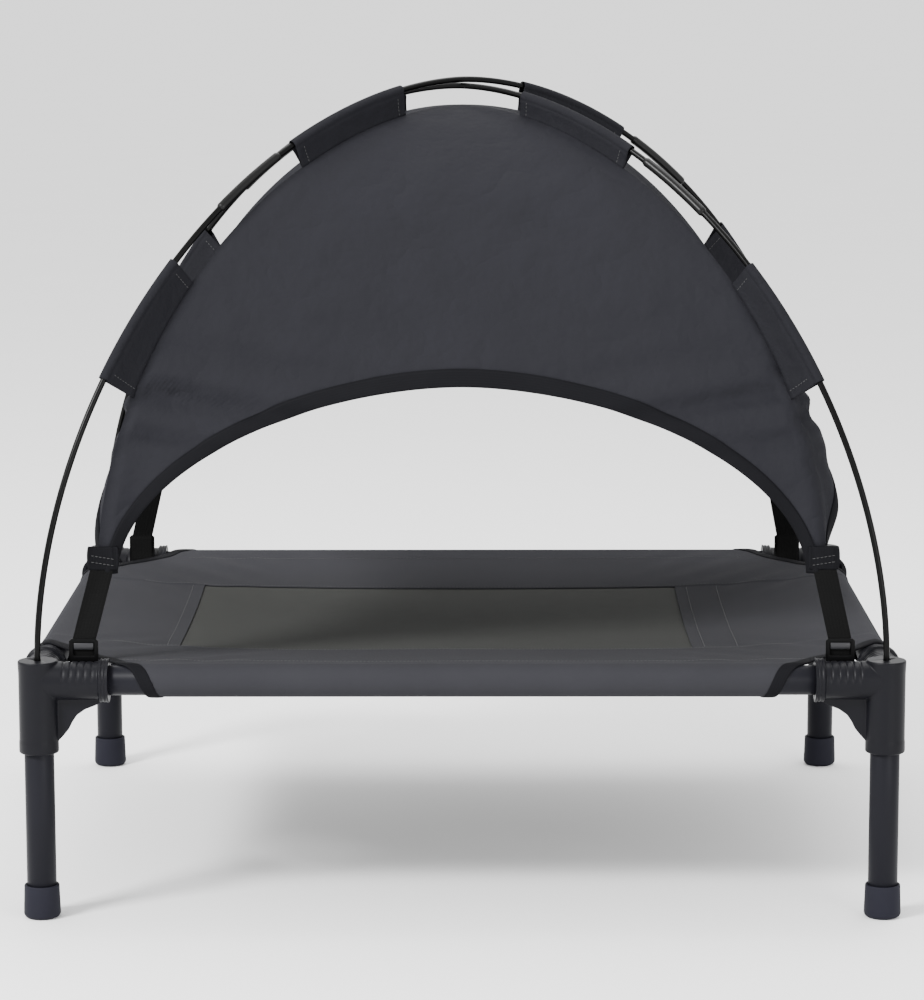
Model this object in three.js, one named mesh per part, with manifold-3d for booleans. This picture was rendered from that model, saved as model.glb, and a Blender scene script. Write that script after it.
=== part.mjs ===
// Raised dog bed on a tubular frame, with a lift-off sun tent on two crossed poles.
// Millimetres, +Z up. The origin is on the floor, under the centre of the bed.
import * as THREE from "three";
import { mergeVertices } from "three/addons/utils/BufferGeometryUtils.js";
import Module from "manifold-3d";

const wasm = await Module();
wasm.setup();

// ---------------------------------------------------------------- driving dimensions
// Overall
const postSpacingX = 723; // between the leg axes, along the bed
const postSpacingY = 573; // between the leg axes, across the bed
const railHeight = 207.5; // floor to the axis of the horizontal rails
const poleTop = 706; // floor to the axis of the upper pole at the crossing
const fitGap = 0.3; // between a piece and the one that it seats in
const facets = { post: 20, tube: 16, foot: 16, pole: 4, poleSocket: 10 }; // sides of round pieces

// Tubes, feet and corner fittings
const tubeRadius = 12.7;
const tubeWall = 1.2;
const footRadius = 15.9; // at the floor
const footTop = 15.1;
const footHeight = 29;
const footFloor = 4;
const footEdge = 3.5;
const postRadius = 17;
const postBottom = 145; // floor to the lower end of a fitting
const postRise = 17.5; // from the rail axis to the top of a fitting
const legSeatDrop = 19.5; // from the rail axis down to the end of the leg socket
const armRadius = 16;
const armLength = 61; // from the post axis to the end of an arm
const collarRadius = 18.5;
const collarLength = 5.5;
const armSocketStart = 21; // from the post axis to the blind end of an arm socket
const gussetThickness = 4;
const gussetReach = 50; // along the arm, from the post axis
const gussetFoot = 9.5; // from the lower end of a fitting up to the gusset

// Poles
const poleRadius = 2.75;
const poleSocketDepth = 28;
const poleSocketRadius = 3.4;
const poleCrossing = 5.8; // between the pole axes where they cross
const poleExponent = 1.85; // 2 would be an ellipse
const poleSteps = 15; // straight stretches in each third of a pole
const ferruleRadius = 4.1;
const ferruleBore = 3.5;
const ferruleSpan = [205, 268]; // from the tent's centre, measured along the diagonal

// Tent fabric
const canopyThickness = 1.2;
const cuffHeight = 293; // floor to the lower end of a canopy corner
const cuffInset = 62.3; // from a pole's foot to that corner, along the diagonal
const canopyDrop = 23; // from the upper pole's axis to the top of the canopy
const canopyExponent = 1.87;
const canopySeam = 1.7; // from a ridge to the edge of each panel that it joins
const canopyHub = 5; // where the four panels stop short of the centre
const canopyRows = 5; // straight stretches from a door's edge to the top
const canopyFan = 0.7; // how soon a panel's lines spread evenly above its door
const doorRise = { front: 159, side: 132 }; // above the cuffs
const doorExponent = 1.85;
const doorSteps = 12; // straight stretches in a door's edge
const doorSetIn = 16.5; // from a ridge to the door's edge, at the cuffs
const doorBinding = 15; // width of a door's tape at its top
const doorBindingFoot = 10.5; // its width at the cuffs
const doorSeam = 2; // between a door's tape and its panel
const bindingThickness = 2.2;
const sleeveBore = 3.6;
const sleeveSkin = 0.8;
const sleeveFlap = 1.6;
const sleeveSpans = { upper: [70, 190], lower: [316, 390] }; // along the diagonal
const sleeveSeam = 1.3; // left between a sleeve and the canopy's ridge

// Bed fabric
const sheetThickness = 1.2;
const sleeveEase = 1.1; // between a rail and the fabric round it
const sagDepth = 20;
const meshWindow = { left: -252, right: 205, halfDepth: 150 };
const bedStations = { band: [110, 92, 70, 45, 22, 0], panel: 10 }; // from the rails' axes
const bedColumns = { band: 5, panel: 4, net: 4 }; // straight stretches along each piece
const pocketTurn = 227; // degrees that the fabric goes round a rail
const pocketStations = 7;
const sewnGap = 0.4; // between two fabric pieces that are sewn edge to edge
const hemReach = 30; // from a rail's axis to the seam that closes its pocket
const sideSeam = 20.6; // from a side rail's axis to the seam of the front and rear bands
const cornerTape = 10;
const cornerSeam = 1.2; // between a corner's tape and the fabric that it binds
const cornerTapeThickness = 1.8;
const cornerTapeStations = 10;
const cutOutStations = { edge: 60, tape: 40 }; // points along a cut-out's outline
// Outline of a cut-out corner, laid flat: [along the bed, across it], from the post's axis.
const cutOut = [
  [96, -44], [82, -22], [67, 0], [65, 10], [60, 21], [48, 37], [34, 52],
  [18, 72], [5, 88], [-3, 95], [-22, 112], [-44, 128],
];

// Straps and their hooks
const strapWidth = 20;
const strapThickness = 1.2;
const hookWidth = 25;
const hookShare = 0.545; // of the way from the other arm's side to the collar at this arm's end
const hookThickness = 1.6;
const hookRadius = 18.4; // middle of the hook's jaw, round the arm
const hookJaw = 80; // degrees of arm that the jaw takes in
const hookRise = 32.5; // from the rail axis to the top of the hook
const hookBar = [23, 29]; // from the rail axis, lower and upper edge of its bar
const hookWindow = 16.5; // from the rail axis to the lower edge of its window
const hookRail = 2.6;
const strapBehind = 0.5; // between a strap and the plate of its hook
const strapTail = 9; // of strap below the hook's window
const strapBend = 2; // above and below the hook's top, where the strap starts to lean

// ---------------------------------------------------------------- derived places
const halfX = postSpacingX / 2;
const halfY = postSpacingY / 2;
const diagonal = Math.hypot(halfX, halfY);
const cuffReach = diagonal - cuffInset; // from the tent's centre to a canopy corner
const postTop = railHeight + postRise;
const sleeveRadius = tubeRadius + sleeveEase + sheetThickness / 2;
const ridgeRise = poleTop - canopyDrop - cuffHeight;
const hookPost = THREE.MathUtils.lerp( // from the post's axis to the middle of a hook
  armRadius, armLength - collarLength, hookShare,
);
const corners = [
  { name: "front_left", x: -1, y: -1, turn: 0 },
  { name: "front_right", x: 1, y: -1, turn: 90 },
  { name: "rear_right", x: 1, y: 1, turn: 180 },
  { name: "rear_left", x: -1, y: 1, turn: 270 },
];

// ---------------------------------------------------------------- finishes
const finish = (color, roughness, metalness = 0) =>
  new THREE.MeshStandardMaterial({ color, roughness, metalness });
const finishes = {
  tube: finish(0x33343a, 0.45, 0.4),
  fitting: finish(0x2c2d31, 0.55),
  rubber: finish(0x303238, 0.75),
  pole: finish(0x1b1b1b, 0.3),
  canopy: finish(0x3e3e43, 0.85),
  bed: finish(0x48474d, 0.85),
  net: finish(0x393938, 0.95),
  tape: finish(0x23232a, 0.85),
  webbing: finish(0x1d1d1f, 0.8),
  buckle: finish(0x222225, 0.4),
};

// ---------------------------------------------------------------- solids
const bed = new THREE.Group();
const tent = new THREE.Group();

// A geometry as a manifold solid with its faces pointing out.
function solid(geometry) {
  const bare = geometry.index ? geometry.toNonIndexed() : geometry.clone();
  bare.deleteAttribute("normal");
  bare.deleteAttribute("uv");
  const merged = mergeVertices(bare, 1e-3);
  const triVerts = new Uint32Array(merged.index.array);
  const vertProperties = merged.attributes.position.array;
  const made = new wasm.Manifold(new wasm.Mesh({ numProp: 3, vertProperties, triVerts }));
  if (made.volume() >= 0) return made;
  for (let i = 0; i < triVerts.length; i += 3) {
    [triVerts[i + 1], triVerts[i + 2]] = [triVerts[i + 2], triVerts[i + 1]];
  }
  return new wasm.Manifold(new wasm.Mesh({ numProp: 3, vertProperties, triVerts }));
}

function geometryOf(made) {
  const { vertProperties, triVerts } = made.getMesh();
  const geometry = new THREE.BufferGeometry();
  geometry.setAttribute("position", new THREE.BufferAttribute(vertProperties, 3));
  geometry.setIndex(new THREE.BufferAttribute(triVerts, 1));
  geometry.computeVertexNormals();
  return geometry;
}

function place(group, name, geometry, material, at = [0, 0, 0], turn = 0) {
  const mesh = new THREE.Mesh(geometryOf(solid(geometry)), material);
  mesh.name = name;
  mesh.position.set(...at);
  mesh.rotation.z = THREE.MathUtils.degToRad(turn);
  group.add(mesh);
}

// A turned solid on the Z axis. The profile is [radius, height] pairs.
function turned(profile, sides) {
  const points = profile.map(([r, h]) => new THREE.Vector2(r, h));
  return new THREE.LatheGeometry(points, sides).rotateX(Math.PI / 2);
}

// The same, lying along +X from the origin.
const turnedAlongX = (profile, sides) => turned(profile, sides).rotateY(Math.PI / 2);

const rod = (radius, from, to) => [[0, from], [radius, from], [radius, to], [0, to]];

const pipe = (inner, outer, from, to) =>
  [[inner, from], [outer, from], [outer, to], [inner, to], [inner, from]];

// A rounded quarter edge of a profile: centre, radius and the two angles in degrees.
function edge(r, h, radius, from, to, steps = 3) {
  return Array.from({ length: steps + 1 }, (_, i) => {
    const a = THREE.MathUtils.degToRad(from + ((to - from) * i) / steps);
    return [r + radius * Math.cos(a), h + radius * Math.sin(a)];
  });
}

// Triangles for the quads of a grid of rows x columns that starts at a vertex index.
function quads(start, rows, columns, flip, out) {
  for (let i = 0; i + 1 < rows; i += 1) {
    for (let j = 0; j + 1 < columns; j += 1) {
      const a = start + i * columns + j;
      const b = a + 1;
      const c = a + columns;
      const d = c + 1;
      if (flip) out.push(a, b, c, b, d, c);
      else out.push(a, c, b, b, c, d);
    }
  }
}

// The direction out of a grid of points at each of them, from its neighbours.
function normalsOf(grid) {
  const at = (i, j) =>
    grid[THREE.MathUtils.clamp(i, 0, grid.length - 1)][
      THREE.MathUtils.clamp(j, 0, grid[0].length - 1)];
  return grid.map((row, i) => row.map((_, j) => {
    const down = at(i + 1, j).clone().sub(at(i - 1, j));
    const across = at(i, j + 1).clone().sub(at(i, j - 1));
    return down.cross(across).normalize();
  }));
}

// A sheet of cloth as a closed solid: a grid of points on its middle surface, thickened both ways.
function sheet(grid, thickness, normals = normalsOf(grid)) {
  const rows = grid.length;
  const columns = grid[0].length;
  const faces = [1, -1].map((side) => grid.flatMap((row, i) => row.map((point, j) =>
    point.clone().addScaledVector(normals[i][j], (side * thickness) / 2))));
  const count = rows * columns;
  const index = [];
  quads(0, rows, columns, false, index);
  quads(count, rows, columns, true, index);
  const rim = [];
  for (let j = 0; j < columns - 1; j += 1) rim.push(j);
  for (let i = 0; i < rows - 1; i += 1) rim.push(i * columns + columns - 1);
  for (let j = columns - 1; j > 0; j -= 1) rim.push((rows - 1) * columns + j);
  for (let i = rows - 1; i > 0; i -= 1) rim.push(i * columns);
  rim.forEach((a, k) => {
    const b = rim[(k + 1) % rim.length];
    index.push(a, b, a + count, b, b + count, a + count);
  });
  const geometry = new THREE.BufferGeometry().setFromPoints([...faces[0], ...faces[1]]);
  return geometry.setIndex(index);
}

// A sleeve: outer and inner outlines, one pair for each station along it, closed at both ends.
function ringLoft(outer, inner) {
  const stations = outer.length;
  const sides = outer[0].length;
  const points = [...outer.flat(), ...inner.flat()];
  const inside = stations * sides;
  const index = [];
  for (let i = 0; i + 1 < stations; i += 1) {
    for (let j = 0; j < sides; j += 1) {
      const next = (j + 1) % sides;
      const a = i * sides + j;
      const b = i * sides + next;
      index.push(a, b, a + sides, b, b + sides, a + sides);
      index.push(inside + b, inside + a, inside + a + sides);
      index.push(inside + b, inside + a + sides, inside + b + sides);
    }
  }
  for (const [i, flip] of [[0, true], [stations - 1, false]]) {
    for (let j = 0; j < sides; j += 1) {
      const next = (j + 1) % sides;
      const a = i * sides + j;
      const b = i * sides + next;
      if (flip) index.push(b, a, inside + a, b, inside + a, inside + b);
      else index.push(a, b, inside + a, b, inside + b, inside + a);
    }
  }
  return new THREE.BufferGeometry().setFromPoints(points).setIndex(index);
}

// ---------------------------------------------------------------- frame
function corner() {
  const post = turned(
    [[0, postBottom], ...edge(postRadius - 1.5, postBottom + 1.5, 1.5, -90, 0, 1),
      ...edge(postRadius - 2, postTop - 2, 2, 0, 90, 1), [0, postTop]], facets.post);
  const arm = turnedAlongX(
    [[0, 0], [armRadius, 0], [armRadius, armLength - collarLength - 1],
      [collarRadius, armLength - collarLength], [collarRadius, armLength],
      [0, armLength]], facets.post);
  const socket = turnedAlongX(rod(tubeRadius + fitGap, armSocketStart, armLength + 1), facets.tube);
  const gusset = new THREE.Shape();
  const armUnder = armRadius - 2;
  const foot = railHeight - postBottom - gussetFoot;
  gusset.moveTo(0, -armUnder);
  gusset.lineTo(gussetReach, -armUnder);
  gusset.lineTo(gussetReach, -armUnder - 10);
  gusset.bezierCurveTo(gussetReach * 0.7, -armUnder - 14, gussetReach * 0.6, -armUnder - 18,
    gussetReach * 0.52, -armUnder - 27);
  gusset.bezierCurveTo(gussetReach * 0.46, -foot + 6, gussetReach * 0.4, -foot + 2,
    postRadius - 1, -foot);
  gusset.lineTo(0, -foot);
  const plate = new THREE.ExtrudeGeometry(gusset, {
    depth: gussetThickness, bevelEnabled: false, curveSegments: 3,
  }).translate(0, 0, -gussetThickness / 2).rotateX(Math.PI / 2);
  let made = solid(post);
  const reach = [arm, plate].map((g) => solid(g.translate(0, 0, railHeight)));
  const quarter = (g) => solid(geometryOf(g).rotateZ(Math.PI / 2));
  for (const piece of [...reach, ...reach.map(quarter)]) made = made.add(piece);
  const bore = solid(socket.translate(0, 0, railHeight));
  made = made.subtract(bore).subtract(quarter(bore));
  const legSeat = turned(rod(tubeRadius + fitGap, postBottom - 1, railHeight - legSeatDrop),
    facets.tube);
  const poleSeat = turned(rod(poleSocketRadius, postTop - poleSocketDepth, postTop + 1),
    facets.poleSocket);
  made = made.subtract(solid(legSeat)).subtract(solid(poleSeat));
  return geometryOf(made);
}

function foot() {
  return turned(
    [[0, 0], ...edge(footRadius - footEdge, footEdge, footEdge, -90, 0, 2),
      [footTop, footHeight], [tubeRadius + fitGap, footHeight],
      [tubeRadius + fitGap, footFloor], [0, footFloor]], facets.foot);
}

function frame() {
  const wall = [tubeRadius - tubeWall, tubeRadius];
  const leg = turned(pipe(...wall, footFloor + fitGap, railHeight - legSeatDrop - fitGap),
    facets.tube);
  for (const c of corners) {
    const at = [c.x * halfX, c.y * halfY, 0];
    place(bed, `foot_${c.name}`, foot(), finishes.rubber, at);
    place(bed, `leg_${c.name}`, leg, finishes.tube, at);
    place(bed, `corner_fitting_${c.name}`, corner(), finishes.fitting, at, c.turn);
  }
  const endX = halfX - armSocketStart - fitGap;
  const endY = halfY - armSocketStart - fitGap;
  const railX = turnedAlongX(pipe(...wall, -endX, endX), facets.tube);
  const railY = turnedAlongX(pipe(...wall, -endY, endY), facets.tube);
  place(bed, "rail_front", railX, finishes.tube, [0, -halfY, railHeight]);
  place(bed, "rail_rear", railX, finishes.tube, [0, halfY, railHeight]);
  place(bed, "rail_left", railY, finishes.tube, [-halfX, 0, railHeight], 90);
  place(bed, "rail_right", railY, finishes.tube, [halfX, 0, railHeight], 90);
}

// ---------------------------------------------------------------- bed fabric
// Height of the fabric's middle surface inside the rails.
function bedHeight(x, y) {
  const along = 1 - Math.min(1, Math.abs(x) / halfX) ** 4;
  const across = 1 - Math.min(1, Math.abs(y) / halfY) ** 2;
  return railHeight + sleeveRadius - sagDepth * along * across;
}

// The cut-out corner as a smooth line of points, moved in from its edge by an offset.
function cutOutLine(offset, count) {
  const curve = new THREE.CatmullRomCurve3(cutOut.map(([u, w]) => new THREE.Vector3(u, w, 0)));
  return Array.from({ length: count }, (_, i) => {
    const p = curve.getPointAt(i / (count - 1));
    const t = curve.getTangentAt(i / (count - 1));
    return new THREE.Vector2(p.x + t.y * offset, p.y - t.x * offset);
  });
}

// Where that line crosses a given distance: how = "x" reads x from y, "y" reads y from x.
function cutOutAt(how, value) {
  const other = how === "x" ? "y" : "x";
  const line = cutOutLine(cornerTape + cornerSeam, cutOutStations.edge);
  for (let i = 0; i + 1 < line.length; i += 1) {
    const [a, b] = [line[i], line[i + 1]];
    const share = (value - a[other]) / (b[other] - a[other]);
    if (share >= 0 && share <= 1) return a[how] + share * (b[how] - a[how]);
  }
  const [first, last] = [line[0], line.at(-1)];
  return (Math.abs(value - first[other]) < Math.abs(value - last[other]) ? first : last)[how];
}

// A point laid flat at a distance inside a rail's axis, or round the rail where that is negative:
// [inwards from the axis, height].
function roundRail(flat, inside) {
  if (flat >= 0) return [flat, inside];
  const a = -flat / sleeveRadius;
  return [-sleeveRadius * Math.sin(a), railHeight + sleeveRadius * Math.cos(a)];
}

// Flat distances from the rail's axis down to the seam that closes its pocket.
const pocket = Array.from({ length: pocketStations }, (_, i) =>
  (-sleeveRadius * THREE.MathUtils.degToRad(pocketTurn) * (i + 1)) / pocketStations);

// One piece of the bed: it lies between the rails, goes round one rail and back to its own seam.
// near holds its flat distances from the rail's axis, ends(flat) gives its two ends at one of
// them, and toPoint(flat, along) puts a flat point in its place.
function band(near, ends, toPoint, columns) {
  const stations = [...near, ...pocket, "seam"];
  const last = pocket.at(-1);
  return stations.map((flat) => {
    const [from, to] = ends(flat === "seam" ? last : flat);
    return Array.from({ length: columns + 1 }, (_, j) => {
      const along = from + ((to - from) * j) / columns;
      return toPoint(flat, along);
    });
  });
}

function bedFabric() {
  const hem = sheetThickness + sewnGap;
  const deep = halfY - meshWindow.halfDepth - sewnGap / 2;
  for (const [name, side] of [["bed_band_front", -1], ["bed_band_rear", 1]]) {
    const ends = (flat) => {
      const cut = flat < deep ? Math.max(sideSeam, cutOutAt("x", flat)) : sideSeam;
      return [-(halfX - cut), halfX - cut];
    };
    const toPoint = (flat, x) => {
      const inward = flat === "seam" ? hemReach : flat;
      const top = bedHeight(x, halfY - Math.max(0, inward));
      const [y, z] = flat === "seam" ? [hemReach, top - hem] : roundRail(flat, top);
      return new THREE.Vector3(x, side * (halfY - y), z);
    };
    const grid = band([deep, ...bedStations.band], ends, toPoint, bedColumns.band);
    place(bed, name, sheet(grid, sheetThickness), finishes.bed);
  }
  for (const [name, side] of [["bed_panel_left", -1], ["bed_panel_right", 1]]) {
    const inner = halfX - Math.abs(side < 0 ? meshWindow.left : meshWindow.right) - sewnGap / 2;
    const ends = (flat) => {
      const half = flat >= sideSeam
        ? meshWindow.halfDepth - sewnGap / 2
        : halfY - cutOutAt("y", flat);
      return [-half, half];
    };
    const toPoint = (flat, y) => {
      const inward = flat === "seam" ? hemReach : flat;
      const top = bedHeight(halfX - Math.max(0, inward), y);
      const [x, z] = flat === "seam" ? [hemReach, top - hem] : roundRail(flat, top);
      return new THREE.Vector3(side * (halfX - x), y, z);
    };
    const step = sideSeam - 2 * sewnGap; // where the panel widens beyond the bands' ends
    const near = [inner, (inner + sideSeam) / 2, sideSeam, step, bedStations.panel, 0];
    const grid = band(near, ends, toPoint, bedColumns.panel);
    place(bed, name, sheet(grid, sheetThickness), finishes.bed);
  }
  const shares = Array.from({ length: bedColumns.net + 1 }, (_, i) => i / bedColumns.net);
  const net = shares.map((v) => shares.map((u) => {
    const x = THREE.MathUtils.lerp(meshWindow.left, meshWindow.right, u);
    const y = (2 * v - 1) * (meshWindow.halfDepth - sewnGap / 2);
    return new THREE.Vector3(x, y, bedHeight(x, y));
  }));
  place(bed, "bed_net_window", sheet(net, sheetThickness), finishes.net);
  // The tape round each cut-out, between the tops of the two rails.
  const edges = [0, cornerTape].map((offset) =>
    cutOutLine(offset, cutOutStations.tape).filter(({ x: u, y: w }) => u > 0 && w > 0));
  const taken = Array.from({ length: cornerTapeStations }, (_, i) => i);
  for (const c of corners) {
    const grid = edges.map((line) => taken.map((i) => {
      const share = i / (cornerTapeStations - 1);
      const { x: u, y: w } = line[Math.round(share * (line.length - 1))];
      const [x, y] = [halfX - u, halfY - w];
      return new THREE.Vector3(c.x * x, c.y * y, bedHeight(x, y));
    }));
    place(bed, `corner_tape_${c.name}`, sheet(grid, cornerTapeThickness), finishes.tape);
  }
}

// ---------------------------------------------------------------- poles
// A tent pole: up out of one corner socket, over the bed and down into the opposite one.
class PoleLine extends THREE.Curve {
  constructor(directionY, crown) {
    super();
    this.across = new THREE.Vector3(halfX / diagonal, (directionY * halfY) / diagonal, 0);
    this.rise = crown - postTop;
    this.tip = 0.04;
  }

  // The arch at an angle from its right end: [distance from the centre, height].
  arch(angle) {
    const power = 2 / poleExponent;
    const c = Math.cos(angle);
    const s = Math.max(0, Math.sin(angle));
    return [diagonal * Math.sign(c) * Math.abs(c) ** power, postTop + this.rise * s ** power];
  }

  // The arch's angle at a distance from the centre, on the side that the sign gives.
  angleAt(distance) {
    const share = Math.abs(distance) / diagonal;
    const angle = Math.acos(share ** (poleExponent / 2));
    return distance < 0 ? Math.PI - angle : angle;
  }

  at(distance, height) {
    return this.across.clone().multiplyScalar(distance).setZ(height);
  }

  getPoint(t, target = new THREE.Vector3()) {
    const start = postTop - poleSocketDepth + fitGap;
    if (t < this.tip) {
      return target.copy(this.at(diagonal, THREE.MathUtils.lerp(start, postTop, t / this.tip)));
    }
    if (t > 1 - this.tip) {
      const share = (1 - t) / this.tip;
      return target.copy(this.at(-diagonal, THREE.MathUtils.lerp(start, postTop, share)));
    }
    const angle = (Math.PI * (t - this.tip)) / (1 - 2 * this.tip);
    return target.copy(this.at(...this.arch(angle)));
  }

  // The share of the pole's length at a distance from the centre.
  shareAt(distance) {
    const t = this.tip + (1 - 2 * this.tip) * (this.angleAt(distance) / Math.PI);
    const lengths = this.getLengths(400);
    const at = t * 400;
    const low = Math.floor(at);
    return THREE.MathUtils.lerp(lengths[low], lengths[Math.min(400, low + 1)], at - low)
      / lengths[400];
  }
}

// A stretch of a curve between two shares of its length.
class Stretch extends THREE.Curve {
  constructor(whole, from, to) {
    super();
    Object.assign(this, { whole, from, to });
  }

  getPoint(t, target = new THREE.Vector3()) {
    return this.whole.getPointAt(THREE.MathUtils.lerp(this.from, this.to, t), target);
  }
}

function swept(curve, radius, bore, steps, sides) {
  const outline = new THREE.Shape();
  outline.absarc(0, 0, radius, 0, 2 * Math.PI, false);
  if (bore) {
    const hole = new THREE.Path();
    hole.absarc(0, 0, bore, 0, 2 * Math.PI, true);
    outline.holes.push(hole);
  }
  return new THREE.ExtrudeGeometry(outline, {
    extrudePath: curve, steps, bevelEnabled: false, curveSegments: sides,
  });
}

function poleParts(line, middle, ends) {
  const joint = (ferruleSpan[0] + ferruleSpan[1]) / 2;
  const gap = fitGap / diagonal / 3;
  const right = line.shareAt(joint);
  const left = line.shareAt(-joint);
  const half = new Stretch(line, right + gap, left - gap);
  place(tent, middle, swept(half, poleRadius, 0, poleSteps, facets.pole), finishes.pole);
  const legs = [new Stretch(line, 0, right - gap), new Stretch(line, left + gap, 1)];
  ends.forEach((name, i) => {
    const end = swept(legs[i], poleRadius, 0, poleSteps, facets.pole);
    place(tent, `pole_end_${name}`, end, finishes.pole);
    const side = i === 0 ? 1 : -1;
    const [from, to] = ferruleSpan.map((d) => line.shareAt(side * d));
    const tube = swept(new Stretch(line, from, to), ferruleRadius, ferruleBore, 3, facets.pole);
    place(tent, `ferrule_${name}`, tube, finishes.pole);
  });
}

// ---------------------------------------------------------------- canopy
// A ridge of the canopy at an angle from its corner: [distance from the centre, height].
function ridge(angle) {
  const power = 2 / canopyExponent;
  return [
    cuffReach * Math.max(0, Math.cos(angle)) ** power,
    cuffHeight + ridgeRise * Math.max(0, Math.sin(angle)) ** power,
  ];
}

const ridgeAngle = (height) =>
  Math.asin(Math.min(1, (height - cuffHeight) / ridgeRise) ** (canopyExponent / 2));

const hubAngle = Math.acos((canopyHub / cuffReach) ** (canopyExponent / 2));
const ridgeStep = 1e-3; // of angle, for directions along a ridge

// The front panel's frame, or a side panel's: x runs along the door, y out through it.
function panelShape(which) {
  const [wide, deep] = which === "front" ? [halfX, halfY] : [halfY, halfX];
  const corner = (cuffReach * wide) / diagonal;
  const door = (grow, growFoot) => (turn) => {
    const power = 2 / doorExponent;
    const c = Math.cos(turn);
    const halfWidth = corner - doorSetIn + growFoot;
    const x = -halfWidth * Math.sign(c) * Math.abs(c) ** power;
    const rise = (doorRise[which] + grow) * Math.max(0, Math.sin(turn)) ** power;
    return [x, cuffHeight + rise];
  };
  const point = (x, angle) => {
    const [reach, height] = ridge(angle);
    return new THREE.Vector3(x, (-reach * deep) / diagonal, height);
  };
  const normal = (angle) => {
    const near = Math.min(angle, hubAngle - ridgeStep);
    const along = point(0, near + ridgeStep).sub(point(0, near));
    return new THREE.Vector3(0, -along.z, along.y).normalize();
  };
  const halfAt = (angle) => (ridge(angle)[0] * wide) / diagonal - canopySeam;
  return { door, point, normal, halfAt };
}

function panel(which) {
  const { door, point, normal, halfAt } = panelShape(which);
  const edgeOf = door(doorBinding + doorSeam, doorBindingFoot + doorSeam);
  const columns = doorSteps + 2;
  const rows = canopyRows;
  const foots = Array.from({ length: columns + 1 }, (_, j) => {
    if (j === 0 || j === columns) return [j === 0 ? -1 : 1, 0];
    const [x, z] = edgeOf((Math.PI * (j - 1)) / doorSteps);
    const angle = ridgeAngle(z);
    return [x / halfAt(angle), angle];
  });
  const places = Array.from({ length: rows + 1 }, (_, i) => foots.map(([share, angle], j) => {
    const at = THREE.MathUtils.lerp(angle, hubAngle, i / rows);
    const across = THREE.MathUtils.lerp(share, (2 * j) / columns - 1, (i / rows) ** canopyFan);
    return [across * halfAt(at), at];
  }));
  const grid = places.map((row) => row.map(([x, angle]) => point(x, angle)));
  const normals = places.map((row) => row.map(([, angle]) => normal(angle)));
  return sheet(grid, canopyThickness, normals);
}

function doorTape(which) {
  const { door, point, normal } = panelShape(which);
  const edges = [door(0, 0), door(doorBinding, doorBindingFoot)];
  const places = edges.map((edgeOf) => Array.from({ length: doorSteps + 1 }, (_, j) => {
    const [x, z] = edgeOf((Math.PI * j) / doorSteps);
    return [x, ridgeAngle(z)];
  }));
  const grid = places.map((row) => row.map(([x, angle]) => point(x, angle)));
  const normals = places.map((row) => row.map(([, angle]) => normal(angle)));
  return sheet(grid, bindingThickness, normals);
}

// How far a point of the diagonal plane is inside (negative) or outside the canopy's ridge.
function pastRidge(distance, height) {
  const up = Math.max(0, (height - cuffHeight) / ridgeRise);
  return Math.abs(distance / cuffReach) ** canopyExponent + up ** canopyExponent - 1;
}

// A sleeve on a pole: a loop round the pole and a flap down to the canopy's ridge.
function sleeve(line, span, side) {
  const stations = 4;
  const [from, to] = span.map((d) => line.angleAt(side * d));
  const out = new THREE.Vector3(line.across.y, -line.across.x, 0);
  const outer = [];
  const inner = [];
  for (let i = 0; i < stations; i += 1) {
    const angle = THREE.MathUtils.lerp(from, to, i / (stations - 1));
    const [d, z] = line.arch(angle);
    const [d1, z1] = line.arch(angle + 1e-3);
    const tangent = new THREE.Vector2(d1 - d, z1 - z).normalize();
    const inward = new THREE.Vector2(-tangent.y, tangent.x);
    let [near, far] = [0, 120];
    for (let k = 0; k < 30; k += 1) {
      const middle = (near + far) / 2;
      const outside = pastRidge(d + inward.x * middle, z + inward.y * middle) > 0;
      if (outside) near = middle;
      else far = middle;
    }
    const at = (x, y) =>
      line.at(d + inward.x * x, z + inward.y * x).addScaledVector(out, y);
    const flap = near - sleeveSeam;
    const loop = sleeveBore + sleeveSkin;
    const turns = Array.from({ length: 6 }, (_, k) => THREE.MathUtils.degToRad(35 + 58 * k));
    outer.push([
      at(flap, -sleeveFlap / 2), at(flap, sleeveFlap / 2),
      ...turns.map((a) => at(loop * Math.cos(a), loop * Math.sin(a))),
    ]);
    const holes = [-12, 12, ...turns.map((a) => THREE.MathUtils.radToDeg(a))];
    inner.push(holes.map((a) => {
      const t = THREE.MathUtils.degToRad(a);
      return at(sleeveBore * Math.cos(t), sleeveBore * Math.sin(t));
    }));
  }
  return ringLoft(outer, inner);
}

function canopy() {
  const sides = [["front", "front", 0], ["right", "side", 90], ["rear", "front", 180],
    ["left", "side", 270]];
  for (const [name, which, turn] of sides) {
    place(tent, `canopy_${name}`, panel(which), finishes.canopy, [0, 0, 0], turn);
    place(tent, `door_tape_${name}`, doorTape(which), finishes.tape, [0, 0, 0], turn);
  }
}

function polesAndSleeves() {
  const lines = [
    { line: new PoleLine(1, poleTop), middle: "pole_middle_upper",
      ends: ["rear_right", "front_left"] },
    { line: new PoleLine(-1, poleTop - poleCrossing), middle: "pole_middle_lower",
      ends: ["front_right", "rear_left"] },
  ];
  for (const { line, middle, ends } of lines) {
    poleParts(line, middle, ends);
    ends.forEach((name, i) => {
      for (const [level, span] of Object.entries(sleeveSpans)) {
        const made = sleeve(line, span, i === 0 ? 1 : -1);
        place(tent, `sleeve_${level}_${name}`, made, finishes.canopy);
      }
    });
  }
}

// ---------------------------------------------------------------- straps and hooks
const strapInset = hookRadius + hookThickness / 2 + strapBehind + strapThickness / 2;

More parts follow.
